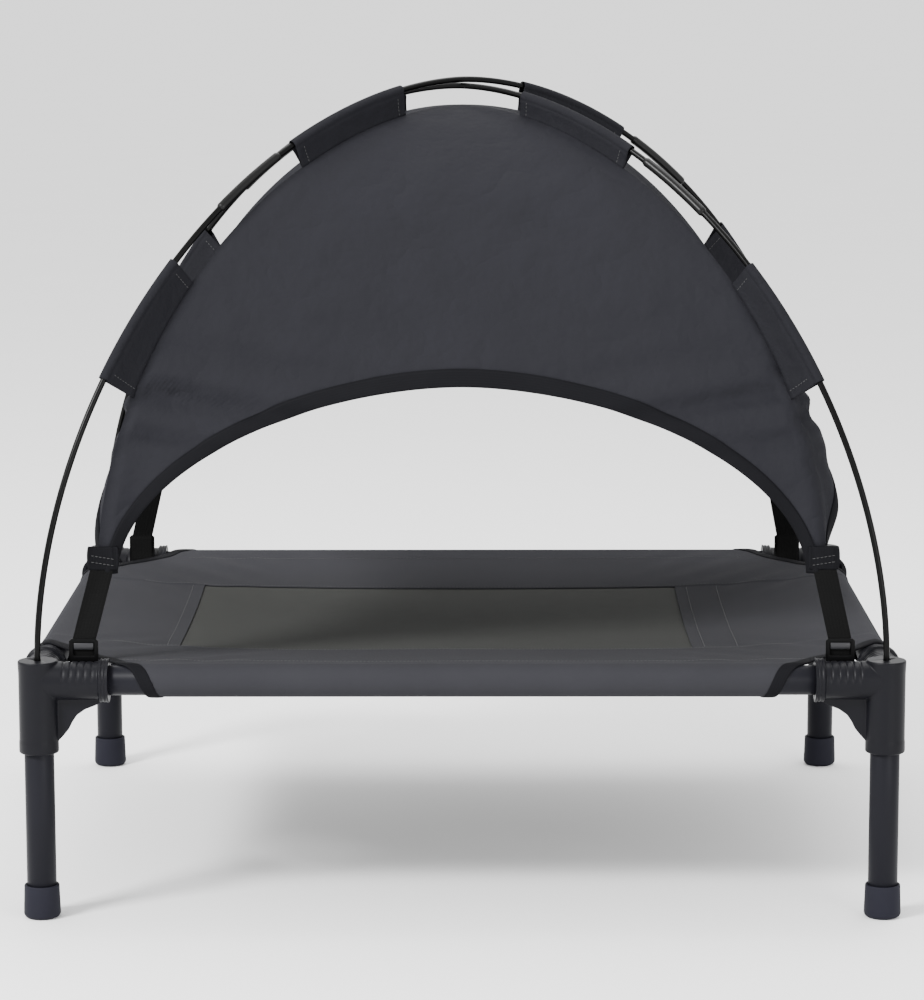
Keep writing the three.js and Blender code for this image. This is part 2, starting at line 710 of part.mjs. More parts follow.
// A strap: straight down behind its hook's bar, and up to the canopy's corner.
function strap(c) {
  const [cuffX, cuffY] = [halfX, halfY].map((half) => half * (1 - cuffReach / diagonal));
  const path = [
    [hookPost, strapInset, railHeight + hookWindow - strapTail],
    [hookPost, strapInset, railHeight + hookRise - strapBend],
    [hookPost, strapInset, railHeight + hookRise + strapBend],
    [cuffX, cuffY, cuffHeight - canopyThickness / 2],
  ];
  return sheet(path.map(([u, w, z]) => [-1, 1].map((side) =>
    new THREE.Vector3(c.x * (halfX - u + (side * strapWidth) / 2), c.y * (halfY - w), z))),
  strapThickness);
}

// A strap hook: a jaw under the rail's arm, and a plate with a bar that holds the strap.
function hook() {
  const [inside, outside] = [hookRadius - hookThickness / 2, hookRadius + hookThickness / 2];
  const jaw = (hookJaw * Math.PI) / 180;
  const outline = new THREE.Shape();
  outline.moveTo(inside, hookRise);
  outline.lineTo(inside, 0);
  outline.absarc(0, 0, inside, 0, -jaw, true);
  outline.lineTo(outside * Math.cos(jaw), -outside * Math.sin(jaw));
  outline.absarc(0, 0, outside, -jaw, 0, false);
  outline.lineTo(outside, hookRise);
  const body = new THREE.ExtrudeGeometry(outline, {
    depth: hookWidth, bevelEnabled: false, curveSegments: 6,
  }).translate(0, 0, -hookWidth / 2).rotateX(Math.PI / 2).rotateZ(Math.PI / 2);
  const opening = (from, to) => solid(
    new THREE.BoxGeometry(hookWidth - 2 * hookRail, 4 * hookThickness, to - from)
      .translate(0, hookRadius, (from + to) / 2));
  return geometryOf(solid(body)
    .subtract(opening(hookWindow, hookBar[0]))
    .subtract(opening(hookBar[1], hookRise + 1)));
}

function strapsAndHooks() {
  for (const c of corners) {
    place(tent, `strap_${c.name}`, strap(c), finishes.webbing);
    const at = [c.x * (halfX - hookPost), c.y * halfY, railHeight];
    place(bed, `strap_hook_${c.name}`, hook(), finishes.buckle, at, c.y < 0 ? 0 : 180);
  }
}

frame();
bedFabric();
polesAndSleeves();
canopy();
strapsAndHooks();

const dogBed = new THREE.Group();
dogBed.add(bed, tent);
export default dogBed;
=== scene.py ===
# %% [markdown]
# # A raised dog bed with a sun tent
# The bed is a sheet of heavy fabric stretched on four tubes, which moulded corners hold at the
# height of a low stool. A tent of thinner cloth hangs from two crossed poles. This notebook
# loads the bed's working model as a fixed frame and dresses it: first the camera and the
# light, then the finishes, then every piece from the floor up.

# %% Load the frame
import math

import bmesh
import bpy
import numpy as np
from mathutils import Matrix, Vector, noise


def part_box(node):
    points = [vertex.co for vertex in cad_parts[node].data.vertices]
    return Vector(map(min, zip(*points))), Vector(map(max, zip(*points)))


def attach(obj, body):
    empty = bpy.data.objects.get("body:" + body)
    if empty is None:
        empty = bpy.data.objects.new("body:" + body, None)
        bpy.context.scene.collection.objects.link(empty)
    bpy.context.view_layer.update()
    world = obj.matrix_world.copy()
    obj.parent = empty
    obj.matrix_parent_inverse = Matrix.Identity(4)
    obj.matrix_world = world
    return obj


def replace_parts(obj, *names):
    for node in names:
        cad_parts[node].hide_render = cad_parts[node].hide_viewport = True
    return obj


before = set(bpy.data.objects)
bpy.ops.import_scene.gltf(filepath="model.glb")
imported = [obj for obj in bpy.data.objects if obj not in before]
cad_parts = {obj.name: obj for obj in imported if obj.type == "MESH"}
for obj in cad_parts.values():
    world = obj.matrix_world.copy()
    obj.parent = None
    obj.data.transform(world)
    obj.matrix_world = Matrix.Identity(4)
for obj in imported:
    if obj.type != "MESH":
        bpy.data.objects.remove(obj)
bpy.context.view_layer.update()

MM = 0.001
CORNERS = {"front_left": (-1, -1), "front_right": (1, -1), "rear_right": (1, 1), "rear_left": (-1, 1)}

# %% [markdown]
# ## Camera
# A long lens a few metres away, a little above the tent and pointing slightly down, keeps the
# four legs nearly parallel. Its position is a plain place in the room, so it is written down.

# %% Camera
LENS = 128.1
CAMERA_PLACE = (0.015, -3.258, 0.832)
PAN, TILT, ROLL = 0.28, 8.97, -0.09
camera_data = bpy.data.cameras.new("camera")
camera_data.sensor_width = 36.0
camera_data.lens = LENS
camera = bpy.data.objects.new("camera", camera_data)
bpy.context.collection.objects.link(camera)
aim = (Matrix.Rotation(math.radians(PAN), 4, "Z") @ Matrix.Rotation(math.radians(90 - TILT), 4, "X")
       @ Matrix.Rotation(math.radians(ROLL), 4, "Z"))
camera.matrix_world = Matrix.Translation(CAMERA_PLACE) @ aim
bpy.context.scene.camera = camera
print("lens", LENS, "mm, pointing", TILT, "degrees down")

# %% [markdown]
# ## Floor and light
# A pale floor that runs to the horizon and a white sky give the even light of a product
# studio. The sky alone would leave dark cloth without form, so three soft lamps add direction:
# one over the left shoulder, a weaker one from the right and a wide one above.

# %% Floor and light
def lamp(name, place, target, width, power):
    """A soft rectangular lamp that points at a target."""
    data = bpy.data.lights.new(name, "AREA")
    data.shape = "RECTANGLE"
    data.size = width
    data.size_y = width * 0.7
    data.energy = power
    made = bpy.data.objects.new(name, data)
    made.location = place
    made.rotation_mode = "QUATERNION"
    made.rotation_quaternion = (Vector(target) - Vector(place)).to_track_quat("-Z", "Y")
    bpy.context.collection.objects.link(made)


def studio():
    world = bpy.data.worlds.new("studio")
    bpy.context.scene.world = world
    world.use_nodes = True
    world.node_tree.nodes["Background"].inputs["Color"].default_value = (1, 1, 1, 1)
    world.node_tree.nodes["Background"].inputs["Strength"].default_value = 1.85
    lamp("key", (-2.2, -2.0, 2.4), (0, 0, 0.35), 0.9, 230)
    lamp("fill", (2.0, -3.0, 0.9), (0, 0, 0.3), 1.6, 58)
    lamp("top", (0.2, 0.8, 2.8), (0, 0, 0.4), 2.2, 60)
    bpy.ops.mesh.primitive_circle_add(vertices=96, radius=120, fill_type="NGON")
    floor = bpy.context.object
    floor.name = "floor"
    return floor


floor = studio()
print(len(bpy.data.lights), "lamps over a floor", floor.dimensions.x, "m across")

# %% [markdown]
# ## A way to write shader maths
# Finishes are built from nodes, and sums of nodes are hard to read as links. `Wire` wraps one
# socket so that `1 - mask * 0.5` writes itself as Math nodes. `Finish` holds one material and
# makes every other node through a single method.

# %% Wire and Finish
class Wire:
    """One output socket that can be used in arithmetic."""

    def __init__(self, finish, socket):
        self.finish = finish
        self.socket = socket

    def _math(self, operation, first, second=None):
        values = {0: first} if second is None else {0: first, 1: second}
        return self.finish.node("ShaderNodeMath", {"operation": operation}, values)

    def __add__(self, other):
        return self._math("ADD", self, other)

    def __radd__(self, other):
        return self._math("ADD", other, self)

    def __sub__(self, other):
        return self._math("SUBTRACT", self, other)

    def __rsub__(self, other):
        return self._math("SUBTRACT", other, self)

    def __mul__(self, other):
        return self._math("MULTIPLY", self, other)

    def __rmul__(self, other):
        return self._math("MULTIPLY", other, self)

    def __truediv__(self, other):
        return self._math("DIVIDE", self, other)

    def __rtruediv__(self, other):
        return self._math("DIVIDE", other, self)

    def __pow__(self, other):
        return self._math("POWER", self, other)

    def sin(self):
        return self._math("SINE", self)

    def abs(self):
        return self._math("ABSOLUTE", self)

    def floor(self):
        return self._math("FLOOR", self)

    def wrap(self, size):
        return self._math("FLOORED_MODULO", self, size)

    def over(self, limit):
        return self._math("GREATER_THAN", self, limit)


class Finish:
    """A material: its Principled shader, and one method that makes any other node."""

    def __init__(self, name, roughness, **constants):
        self.material = bpy.data.materials.new(name)
        self.material.use_nodes = True
        self.tree = self.material.node_tree
        self.shader = self.tree.nodes["Principled BSDF"]
        self.shader.inputs["Roughness"].default_value = roughness
        for socket, value in constants.items():
            self.shader.inputs[socket.replace("_", " ")].default_value = value

    def node(self, kind, settings=None, values=None, out=0):
        made = self.tree.nodes.new(kind)
        for key, value in (settings or {}).items():
            if key == "stops":
                for element, (at, level) in zip(made.color_ramp.elements, value):
                    element.position = at
                    element.color = (level, level, level, 1)
            else:
                setattr(made, key, value)
        for key, value in (values or {}).items():
            if isinstance(value, Wire):
                self.tree.links.new(value.socket, made.inputs[key])
            else:
                made.inputs[key].default_value = value
        return Wire(self, made.outputs[out])

    def mix(self, share, first, second):
        """A blend of two colours: a Mix node's colour sockets are its 6th and 7th."""
        values = {0: share, 6: first, 7: second}
        return self.node("ShaderNodeMix", {"data_type": "RGBA"}, values, out=2)

    def place(self):
        """Points of the piece in its own frame, in metres."""
        return self.node("ShaderNodeTexCoord", out="Object")

    def cloth(self):
        """The two directions of a cloth's weave, in metres."""
        weave = self.node("ShaderNodeUVMap", {"uv_map": "cloth"})
        across = self.node("ShaderNodeSeparateXYZ", None, {"Vector": weave}, out="X")
        return across, Wire(self, across.socket.node.outputs["Y"])

    def cloud(self, scale, detail=3.0, roughness=0.5, at=None):
        """Soft noise, with a scale in bumps to the metre."""
        values = {"Vector": at or self.place(), "Scale": scale, "Detail": detail, "Roughness": roughness}
        return self.node("ShaderNodeTexNoise", None, values)

    def feed(self, **wires):
        """Plugs wires into the shader's named sockets and hands back the material."""
        for socket, wire in wires.items():
            self.tree.links.new(wire.socket, self.shader.inputs[socket.replace("_", " ")])
        return self.material

    def bump(self, height, distance, strength):
        values = {"Height": height, "Distance": distance, "Strength": strength}
        return self.node("ShaderNodeBump", None, values)


def grey(level, blue=0.0):
    """A near-neutral colour with a share more blue than red and green."""
    return (level, level, level * (1 + blue), 1)

# %% [markdown]
# ## Finishes
# Everything on this bed is charcoal or black, so the pieces part by sheen, grain and weave
# rather than by hue. Powder coat has an orange-peel surface and moulded plastic a finer one.
# A picture of each surface could be wrapped on instead, but noise in the piece's own frame
# needs no seams and stays sharp at any distance.

# %% Hard finishes
def grained(name, level, roughness, grain, depth, blue=0.3, **constants):
    """A coated or moulded surface: fine grain, faint cloudy colour and worn sheen."""
    made = Finish(name, roughness, **constants)
    grit = made.cloud(grain, 2.0)
    haze = made.cloud(14.0, 4.0)
    colour = made.mix(haze, grey(level * 0.86, blue), grey(level * 1.16, blue))
    rough = roughness - 0.05 + haze * 0.08 + grit * 0.04
    return made.feed(Base_Color=colour, Roughness=rough, Normal=made.bump(grit, depth * MM, 0.5))


finishes = {
    "tube": grained("tube_powder_coat", 0.0066, 0.42, 900.0, 0.05, blue=0.35, Specular_IOR_Level=0.07),
    "fitting": grained("fitting_plastic", 0.0042, 0.40, 1600.0, 0.03, blue=0.35, Specular_IOR_Level=0.09),
    "foot": grained("foot_rubber", 0.0110, 0.60, 1200.0, 0.04, blue=0.45, Specular_IOR_Level=0.06),
    "pole": grained("pole_glass_fibre", 0.001, 0.30, 500.0, 0.01, blue=0.0, Specular_IOR_Level=0.09),
    "ferrule": grained("ferrule_black", 0.0025, 0.33, 700.0, 0.02, blue=0.0, Specular_IOR_Level=0.16),
    "buckle": grained("buckle_plastic", 0.0014, 0.40, 1400.0, 0.03, blue=0.1, Specular_IOR_Level=0.07),
    # The bar's pale grey is partly its own colour and partly a painted highlight on the top it turns to the
    # light.
    "bar": grained("buckle_bar_grey_and_highlight", 0.022, 0.35, 1400.0, 0.03, blue=0.1, Specular_IOR_Level=0.2),
}

print(len(finishes), "hard finishes")

# %% [markdown]
# Cloth is dark too, and what tells one cloth from another is the size of its threads. Modelling
# each thread would take millions of faces, so the weave is a height worked out from two
# distances along the flat cloth. The tent's cloth is thin and creased, the bed's is thick and
# flat, tapes are ribbed across, and the net has rows of holes.

# %% Cloth finishes
CREASE_DETAIL = 4.0


def woven(name, level, pitch, depth, crumple, fold, roughness=0.78, blue=0.22, sheen=0.0, shine=0.05):
    """A plain weave: at each crossing one thread lies over the other, turn and turn about.

    Crumple is the creases to the metre and fold their depth, both as a bump in the surface.
    """
    made = Finish(name, roughness, Sheen_Weight=sheen, Sheen_Roughness=0.45,
                  Specular_IOR_Level=shine)
    u, v = made.cloth()
    across = u / (pitch * MM)
    along = v / (pitch * MM)
    over = (across.floor() + along.floor()).wrap(2.0)
    warp = (across * math.pi).sin().abs()
    weft = (along * math.pi).sin().abs()
    height = over * warp + (1 - over) * weft
    crease = (made.cloud(crumple, CREASE_DETAIL, 0.55) - 0.5).abs() * 2.0
    haze = made.cloud(9.0, 5.0, 0.6)
    stretched = made.node("ShaderNodeCombineXYZ", None, {"X": u * 1400.0, "Y": v * 60.0})
    slub = made.cloud(1.0, 2.0, 0.5, at=stretched)
    # The weave's height lightens the thread crests and darkens the gaps between threads: painted shade of the
    # weave's relief. The haze and slub are the cloth's own uneven tone.
    shade = haze * 0.5 + slub * 0.10 + height * 0.25
    colour = made.mix(shade, grey(level * 0.70, blue), grey(level * 1.32, blue))
    rough = roughness - 0.06 + shade * 0.12
    relief = height * (depth * MM) + crease * (fold * MM)
    return made.feed(Base_Color=colour, Roughness=rough, Normal=made.bump(relief, 1.0, 0.7))


def ribbed(name, level, pitch, depth, blue=0.2):
    """A narrow woven tape or webbing: ribs across it, and a flat selvedge."""
    made = Finish(name, 0.80, Specular_IOR_Level=0.04)
    u, v = made.cloth()
    rib = (v * (math.pi / (pitch * MM))).sin().abs()
    cord = (u * (math.pi / (2.2 * pitch * MM))).sin().abs()
    haze = made.cloud(30.0, 3.0)
    height = rib * 0.6 + cord * 0.4
    # Lighter on each rib and darker between the ribs: painted shade of the tape's relief. The haze is the
    # tape's own uneven tone.
    colour = made.mix(height * 0.6 + haze * 0.4, grey(level * 0.6, blue), grey(level * 1.4, blue))
    return made.feed(Base_Color=colour, Normal=made.bump(height, depth * MM, 0.7))


def netting():
    """A knitted net: rows of small round holes, each row set half a hole along."""
    made = Finish("bed_net", 0.9, Specular_IOR_Level=0.1)
    u, v = made.cloth()
    pitch = 2.4 * MM
    row = (v / pitch).floor()
    x = (u / pitch + row * 0.5).wrap(1.0) - 0.5
    y = (v / pitch).wrap(1.0) - 0.5
    reach = (x * x + y * y) ** 0.5
    yarn = reach.over(0.27)
    haze = made.cloud(60.0, 4.0, 0.6)
    ridge = (reach - 0.5).abs() * -1.0 + 0.5
    # The holes take the dark colour and the yarn the lighter one: the holes' darkness is painted shade of the
    # space under the bed seen through them.
    colour = made.mix(yarn * 0.75 + haze * 0.25, (0.007, 0.007, 0.0066, 1), (0.036, 0.037, 0.034, 1))
    return made.feed(Base_Color=colour, Normal=made.bump(ridge * yarn + haze * 0.2, 0.35 * MM, 0.7))


def thread(name, level):
    """Sewing thread: a fine twist of light and dark."""
    made = Finish(name, 0.6, Sheen_Weight=0.05)
    twist = made.cloud(2500.0, 1.0)
    return made.feed(Base_Color=made.mix(twist, grey(level * 0.7), grey(level * 1.3)))


finishes |= {
    "canopy_fabric": woven("canopy_cloth", 0.0120, 0.42, 0.05, crumple=13.0, fold=7.0),
    # The sleeves are the canopy's cloth at a darker level: painted shade, since they face away from the
    # light.
    "sleeve_fabric": woven("sleeve_cloth_painted_shade", 0.0095, 0.42, 0.05, crumple=40.0, fold=3.0),
    "bed_fabric": woven("bed_oxford_cloth", 0.0238, 0.75, 0.10, crumple=7.0, fold=1.2, roughness=0.9,
                        blue=0.14, sheen=0.016, shine=0.02),
    "net": netting(),
    "binding": ribbed("binding_tape", 0.0046, 1.0, 0.12),
    "webbing": ribbed("strap_webbing", 0.0032, 1.3, 0.25, blue=0.0),
    "thread": thread("thread_charcoal", 0.032),
}
print(len(finishes), "finishes")

# %% Floor finish
floor_paint = Finish("floor_paint", 0.9)
floor_colour = floor_paint.mix(floor_paint.cloud(3.0), grey(0.86), grey(0.89))
floor.data.materials.append(floor_paint.feed(Base_Color=floor_colour))

# %% [markdown]
# ## From numbers to pieces
# Most pieces start as a grid of points: a turned part is a profile carried round an axis, a
# tube is a ring carried along a line, and a cloth is a sheet. One helper makes the mesh, puts
# it on its body and says which working solids it stands for.

# %% Making pieces
def piece(name, points, faces, body, slot, replaces=(), finish=None, uv=None):
    """A mesh object that rides on a body. Points are in metres in the bed's own frame."""
    mesh = bpy.data.meshes.new(name)
    mesh.from_pydata([tuple(p) for p in points], [], [tuple(f) for f in faces])
    mesh.validate()
    if uv is not None:
        layer = mesh.uv_layers.new(name="cloth")
        loops = np.empty(len(mesh.loops), np.int32)
        mesh.loops.foreach_get("vertex_index", loops)
        layer.data.foreach_set("uv", np.asarray(uv, np.float32)[loops].ravel())
    mesh.shade_smooth()
    made = bpy.data.objects.new(name, mesh)
    bpy.context.collection.objects.link(made)
    mesh.materials.append(finishes[finish or slot])
    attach(made, body)
    if replaces:
        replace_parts(made, *replaces)
    return made


def grid_faces(rows, columns, ring=False):
    """Faces of a rows x columns grid. A ring's last column joins its first."""
    last = columns if ring else columns - 1
    return [(i * columns + j, i * columns + (j + 1) % columns,
             (i + 1) * columns + (j + 1) % columns, (i + 1) * columns + j)
            for i in range(rows - 1) for j in range(last)]


def closed_faces(rows, columns):
    """Faces of a ringed grid with both of its ends filled in."""
    return grid_faces(rows, columns, ring=True) + [
        tuple(range(columns)), tuple(reversed(range((rows - 1) * columns, rows * columns)))]


def cloth_map(across, along):
    """Flat places of a grid's points, from its distances across and along."""
    return np.stack(np.broadcast_arrays(across[None, :], along[:, None]), -1).reshape(-1, 2)


def apply_all(made):
    """Bakes the modifiers into the mesh."""
    bpy.context.view_layer.update()
    dg = bpy.context.evaluated_depsgraph_get()
    done = bpy.data.meshes.new_from_object(made.evaluated_get(dg), depsgraph=dg)
    made.modifiers.clear()
    made.data = done
    return made


def outward(made):
    """Turns a closed mesh's faces to point out."""
    bm = bmesh.new()
    bm.from_mesh(made.data)
    bmesh.ops.recalc_face_normals(bm, faces=bm.faces)
    bm.to_mesh(made.data)
    bm.free()
    return made


def modifier(made, kind, **settings):
    """Adds one modifier, set up by name."""
    added = made.modifiers.new(kind.lower(), kind)
    for key, value in settings.items():
        setattr(added, key, value)
    return made


def welded(made):
    """Joins points that meet, such as those of a profile that starts on its axis."""
    modifier(made, "WELD", merge_threshold=0.01 * MM)
    return outward(apply_all(made))


def thickened(made, thickness):
    """Gives a sheet its thickness, half to each side."""
    modifier(made, "SOLIDIFY", thickness=thickness, offset=0)
    return apply_all(made)


def unit(v):
    return v / np.maximum(np.linalg.norm(v, axis=-1, keepdims=True), 1e-12)


def distance_along(line):
    """How far each point of a line lies from its start."""
    return np.concatenate([[0], np.cumsum(np.linalg.norm(np.diff(line, axis=0), axis=1))])


def turned(profile, sides=56):
    """Points and faces of a profile of (radius, height) pairs turned about Z."""
    profile = np.asarray(profile, float)
    angle = np.linspace(0, 2 * math.pi, sides, endpoint=False)
    rings = [np.column_stack([r * np.cos(angle), r * np.sin(angle), np.full(sides, h)])
             for r, h in profile]
    faces = grid_faces(len(profile), sides, ring=True)
    if profile[0][0] > 0:
        faces.append(tuple(range(sides)))
    if profile[-1][0] > 0:
        faces.append(tuple(reversed(range((len(profile) - 1) * sides, len(profile) * sides))))
    return np.concatenate(rings), faces


def fillet(r, h, radius, start, end, steps=6):
    """Points of a profile's rounded edge, from one angle to another in degrees."""
    return [(r + radius * math.cos(math.radians(a)), h + radius * math.sin(math.radians(a)))
            for a in np.linspace(start, end, steps)]

# %% [markdown]
# ## Sizes from the frame
# Every place comes from the working model: the post axes and the tube from the legs, the rail
# height from a rail, the poles' crown from the middle pole, and the tent's corners from its
# panels.

# %% Sizes
leg_low, leg_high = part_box("leg_front_left")
rail_low, rail_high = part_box("rail_front")
fitting_low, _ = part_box("corner_fitting_front_left")
half_x = -(leg_low.x + leg_high.x) / 2
half_y = -(leg_low.y + leg_high.y) / 2
diagonal = math.hypot(half_x, half_y)
tube = (leg_high.x - leg_low.x) / 2
rail_z = (rail_low.z + rail_high.z) / 2
BORE = tube + 0.25 * MM
post_low = fitting_low.z
post_top = rail_z + 17.5 * MM
print(f"posts at {half_x:.4f}, {half_y:.4f}; rails at {rail_z:.4f}, tube {tube * 2000:.1f} mm")

# %% [markdown]
# ## Legs, rails and foot caps
# Plain steel tube, cut square, with a wall of 1.2 mm. A cylinder with a bevel would do for the
# outside, but a turned profile gives the wall and the small edge at each end in one go. The
# caps are turned shapes too: a slight taper, a soft lower edge that takes the knocks, and a
# small lip where the leg goes in.

# %% Tubes
def tube_profile(start, end):
    """A tube wall's section, as a closed loop of (radius, height) points."""
    wall, edge = 1.2 * MM, 0.25 * MM
    inner = tube - wall
    return [(inner, start), (tube - edge, start), (tube, start + edge),
            (tube, end - edge), (tube - edge, end), (inner, end), (inner, start)]


def straight_tube(node, start, end, at, turn):
    """One tube. Its section closes on itself, so the two end faces of a turned shape go."""
    points, faces = turned(tube_profile(start, end), 48)
    points = np.array([turn @ Vector(p) + Vector(at) for p in points])
    return welded(piece(f"steel_{node}", points, faces[:-2], "bed", "tube", [node]))


LYING_X = Matrix.Rotation(math.pi / 2, 3, "Y")
LYING_Y = Matrix.Rotation(-math.pi / 2, 3, "X")
for corner, (sx, sy) in CORNERS.items():
    straight_tube(f"leg_{corner}", leg_low.z, leg_high.z, (sx * half_x, sy * half_y, 0), Matrix.Identity(3))
for side in (-1, 1):
    name = "front" if side < 0 else "rear"
    straight_tube(f"rail_{name}", rail_low.x, rail_high.x, (0, side * half_y, rail_z), LYING_X)
    name = "left" if side < 0 else "right"
    low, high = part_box(f"rail_{name}")
    straight_tube(f"rail_{name}", low.y, high.y, (side * half_x, 0, rail_z), LYING_Y)
print("4 legs and 4 rails")

# %% Foot caps
def foot_cap(corner, sx, sy):
    low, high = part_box(f"foot_{corner}")
    radius = (high.x - low.x) / 2
    top = high.z
    sole = 4 * MM
    profile = [(0, 0.8 * MM), (radius * 0.55, 0.8 * MM), (radius * 0.6, 0),
               *fillet(radius - 4.5 * MM, 4.5 * MM, 4.5 * MM, -90, -4, 8),
               (radius - 0.8 * MM, top - 1.2 * MM),
               *fillet(radius - 1.8 * MM, top - 1.0 * MM, 1.0 * MM, 0, 90, 4),
               (BORE, top - 0.3 * MM), (BORE, sole), (0, sole)]
    points, faces = turned(profile, 64)
    points = points + np.array([sx * half_x, sy * half_y, 0])
    return welded(piece(f"foot_cap_{corner}", points, faces, "bed", "foot", [f"foot_{corner}"]))


for corner, (sx, sy) in CORNERS.items():
    made = foot_cap(corner, sx, sy)
    print(made.name, round(made.dimensions.z / MM, 1), "mm high")

# %% [markdown]
# ## Corner fittings
# One moulded part takes the leg, two rails and the tip of a pole. It is easiest to think of it
# as clay: a post, two arms with ribs on their upper half, a flanged collar at each arm's end and
# a curved web under each arm. The shapes overlap, a fine voxel remesh fuses them into one skin
# with the small fillets of a moulding, and four bores are then cut out of it.

# %% Corner fitting
ARM = 61    # mm from the post's axis, as are the ribs and the collar
ARM_RADIUS = 16.2
RIBBED = (20, 50)
RIB_PITCH = 6.2
COLLAR = 52.5
POLE_BORE = 3.4 * MM
POLE_DEPTH = 28 * MM


def arm_points(sides=72):
    """An arm along +X, worked out in mm: its ribs fade out towards the lower half."""
    stations = np.linspace(0, ARM, 123)
    angle = np.linspace(0, 2 * math.pi, sides, endpoint=False)
    rows = []
    for d in stations:
        groove = 0.0
        if RIBBED[0] < d < RIBBED[1]:
            groove = 0.9 * max(0.0, math.cos(2 * math.pi * (d - 22.5) / RIB_PITCH)) ** 3
        collar = 0.0
        if d > COLLAR:
            collar = 2.1 + 0.5 * math.cos(2 * math.pi * (d - 54.2) / 3.2) + (0.4 if d > 58.6 else 0)
        upper = np.clip(np.sin(angle) * 2.2 + 0.4, 0, 1)
        radius = ARM_RADIUS + collar - groove * upper
        rows.append(np.column_stack([np.full(sides, d), radius * np.cos(angle), radius * np.sin(angle)]))
    return np.concatenate(rows) * MM, closed_faces(len(stations), sides)


def gusset_points():
    """The web under an arm: a plate with an S-curved free edge."""
    drop = (rail_z - post_low) / MM
    edge = [(0, -13), (56, -13), (56, -17.5), (49, -21.5), (40, -25), (33, -30), (29, -36), (26, -42),
            (22, -47), (16.5, 9.5 - drop), (0, 9.5 - drop)]
    half = 2.0
    points = [(x * MM, y * half * MM, z * MM) for y in (-1, 1) for x, z in edge]
    n = len(edge)
    faces = [tuple(range(n)), tuple(reversed(range(n, 2 * n)))]
    faces += [(i, i + n, (i + 1) % n + n, (i + 1) % n) for i in range(n)]
    return np.array(points), faces


def bore_mesh(name, radius, start, end, turn):
    """A plain cylinder that cuts a bore."""
    points, faces = turned([(radius, start), (radius, end)], 48)
    mesh = bpy.data.meshes.new(name)
    mesh.from_pydata([tuple(turn @ Vector(p)) for p in points], [], faces)
    return mesh


def one_fitting():
    """The fitting at the origin of the rails' crossing, with its arms along +X and +Y."""
    low, top = post_low - rail_z, post_top - rail_z
    post = turned([(0, low), *fillet(15.4 * MM, low + 1.6 * MM, 1.6 * MM, -90, 0, 5),
                   (17.0 * MM, low + 9 * MM), (16.7 * MM, low + 12 * MM), (16.6 * MM, top - 12 * MM),
                   (17.1 * MM, top - 1.0 * MM), (16.6 * MM, top), (0, top)], 72)
    parts = [post]
    for shape in (arm_points(), gusset_points()):
        parts.append(shape)
        parts.append((shape[0] @ np.array([[0, 1, 0], [-1, 0, 0], [0, 0, 1]]), shape[1]))
    points, faces = [], []
    for shape, polygons in parts:
        start = sum(len(p) for p in points)
        points.append(shape)
        faces += [tuple(start + k for k in polygon) for polygon in polygons]
    mesh = bpy.data.meshes.new("fitting_shape")
    mesh.from_pydata([tuple(p) for p in np.concatenate(points)], [], faces)
    work = bpy.data.objects.new("fitting_shape", mesh)
    bpy.context.collection.objects.link(work)
    outward(work)
    modifier(work, "REMESH", mode="VOXEL", voxel_size=0.6 * MM)
    modifier(work, "SMOOTH", factor=0.5, iterations=2)
    apply_all(work)
    modifier(work, "DECIMATE", ratio=0.35)
    past = 5 * MM
    cutters = [bore_mesh("leg_bore", BORE, low - past, -19.5 * MM, Matrix.Identity(3)),
               bore_mesh("pole_bore", POLE_BORE, top - POLE_DEPTH, top + past, Matrix.Identity(3)),
               bore_mesh("arm_bore_x", BORE, 21 * MM, ARM * MM + past, LYING_X),
               bore_mesh("arm_bore_y", BORE, 21 * MM, ARM * MM + past, LYING_Y)]
    for cutter in cutters:
        tool = bpy.data.objects.new(cutter.name, cutter)
        bpy.context.collection.objects.link(tool)
        outward(tool)
        modifier(work, "BOOLEAN", object=tool, operation="DIFFERENCE", solver="EXACT")
        apply_all(work)
        bpy.data.objects.remove(tool)
    mesh = work.data
    bpy.data.objects.remove(work)
    return mesh


fitting_mesh = one_fitting()
print("fitting", len(fitting_mesh.polygons), "faces")


def corner_fitting(corner, sx, sy):
    """A copy of the fitting, turned so that its arms point at the two nearest corners."""
    mesh = fitting_mesh.copy()
    quarter = {(-1, -1): 0, (1, -1): 90, (1, 1): 180, (-1, 1): 270}[sx, sy]
    place = Matrix.Translation((sx * half_x, sy * half_y, rail_z))
    mesh.transform(place @ Matrix.Rotation(math.radians(quarter), 4, "Z"))
    mesh.shade_smooth()
    mesh.materials.clear()
    mesh.materials.append(finishes["fitting"])
    made = bpy.data.objects.new(f"moulded_corner_{corner}", mesh)
    bpy.context.collection.objects.link(made)
    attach(made, "bed")
    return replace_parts(made, f"corner_fitting_{corner}")


for corner, (sx, sy) in CORNERS.items():
    corner_fitting(corner, sx, sy)

# %% [markdown]
# ## The bed sheet as a flat pattern
# The sheet is cut flat and then wrapped: it lies between the rails with a little sag, goes
# round each rail, and comes back to a seam underneath. So every point of it is worked out from
# two flat distances, along and across, and a lift off its middle surface. Tapes, stitches and
# the net window use the same rule, and therefore always lie on the cloth. A cloth simulation
# isn't needed, because the frame holds the sheet tight on all four sides.

# %% Flat pattern of the bed
SLEEVE_R = tube + 0.9 * MM
SAG = 20 * MM
WRAP_TURN = math.radians(227)    # the rail pocket goes this far round its rail
WRAP = SLEEVE_R * WRAP_TURN
HEM = 30 * MM
SEAM_IN = 30 * MM
BAND_LIFT = 0.25 * MM    # the bands lie over the panels
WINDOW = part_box("bed_net_window")
CORNER_CUT = [(118, -87), (106, -64), (97, -44), (91, -28), (84, -14), (76, -4), (68, 3), (63, 13), (57, 24),
              (46, 38), (33, 53), (18, 72), (5, 88), (-3, 96), (-22, 108), (-44, 120), (-64, 132), (-87, 146)]


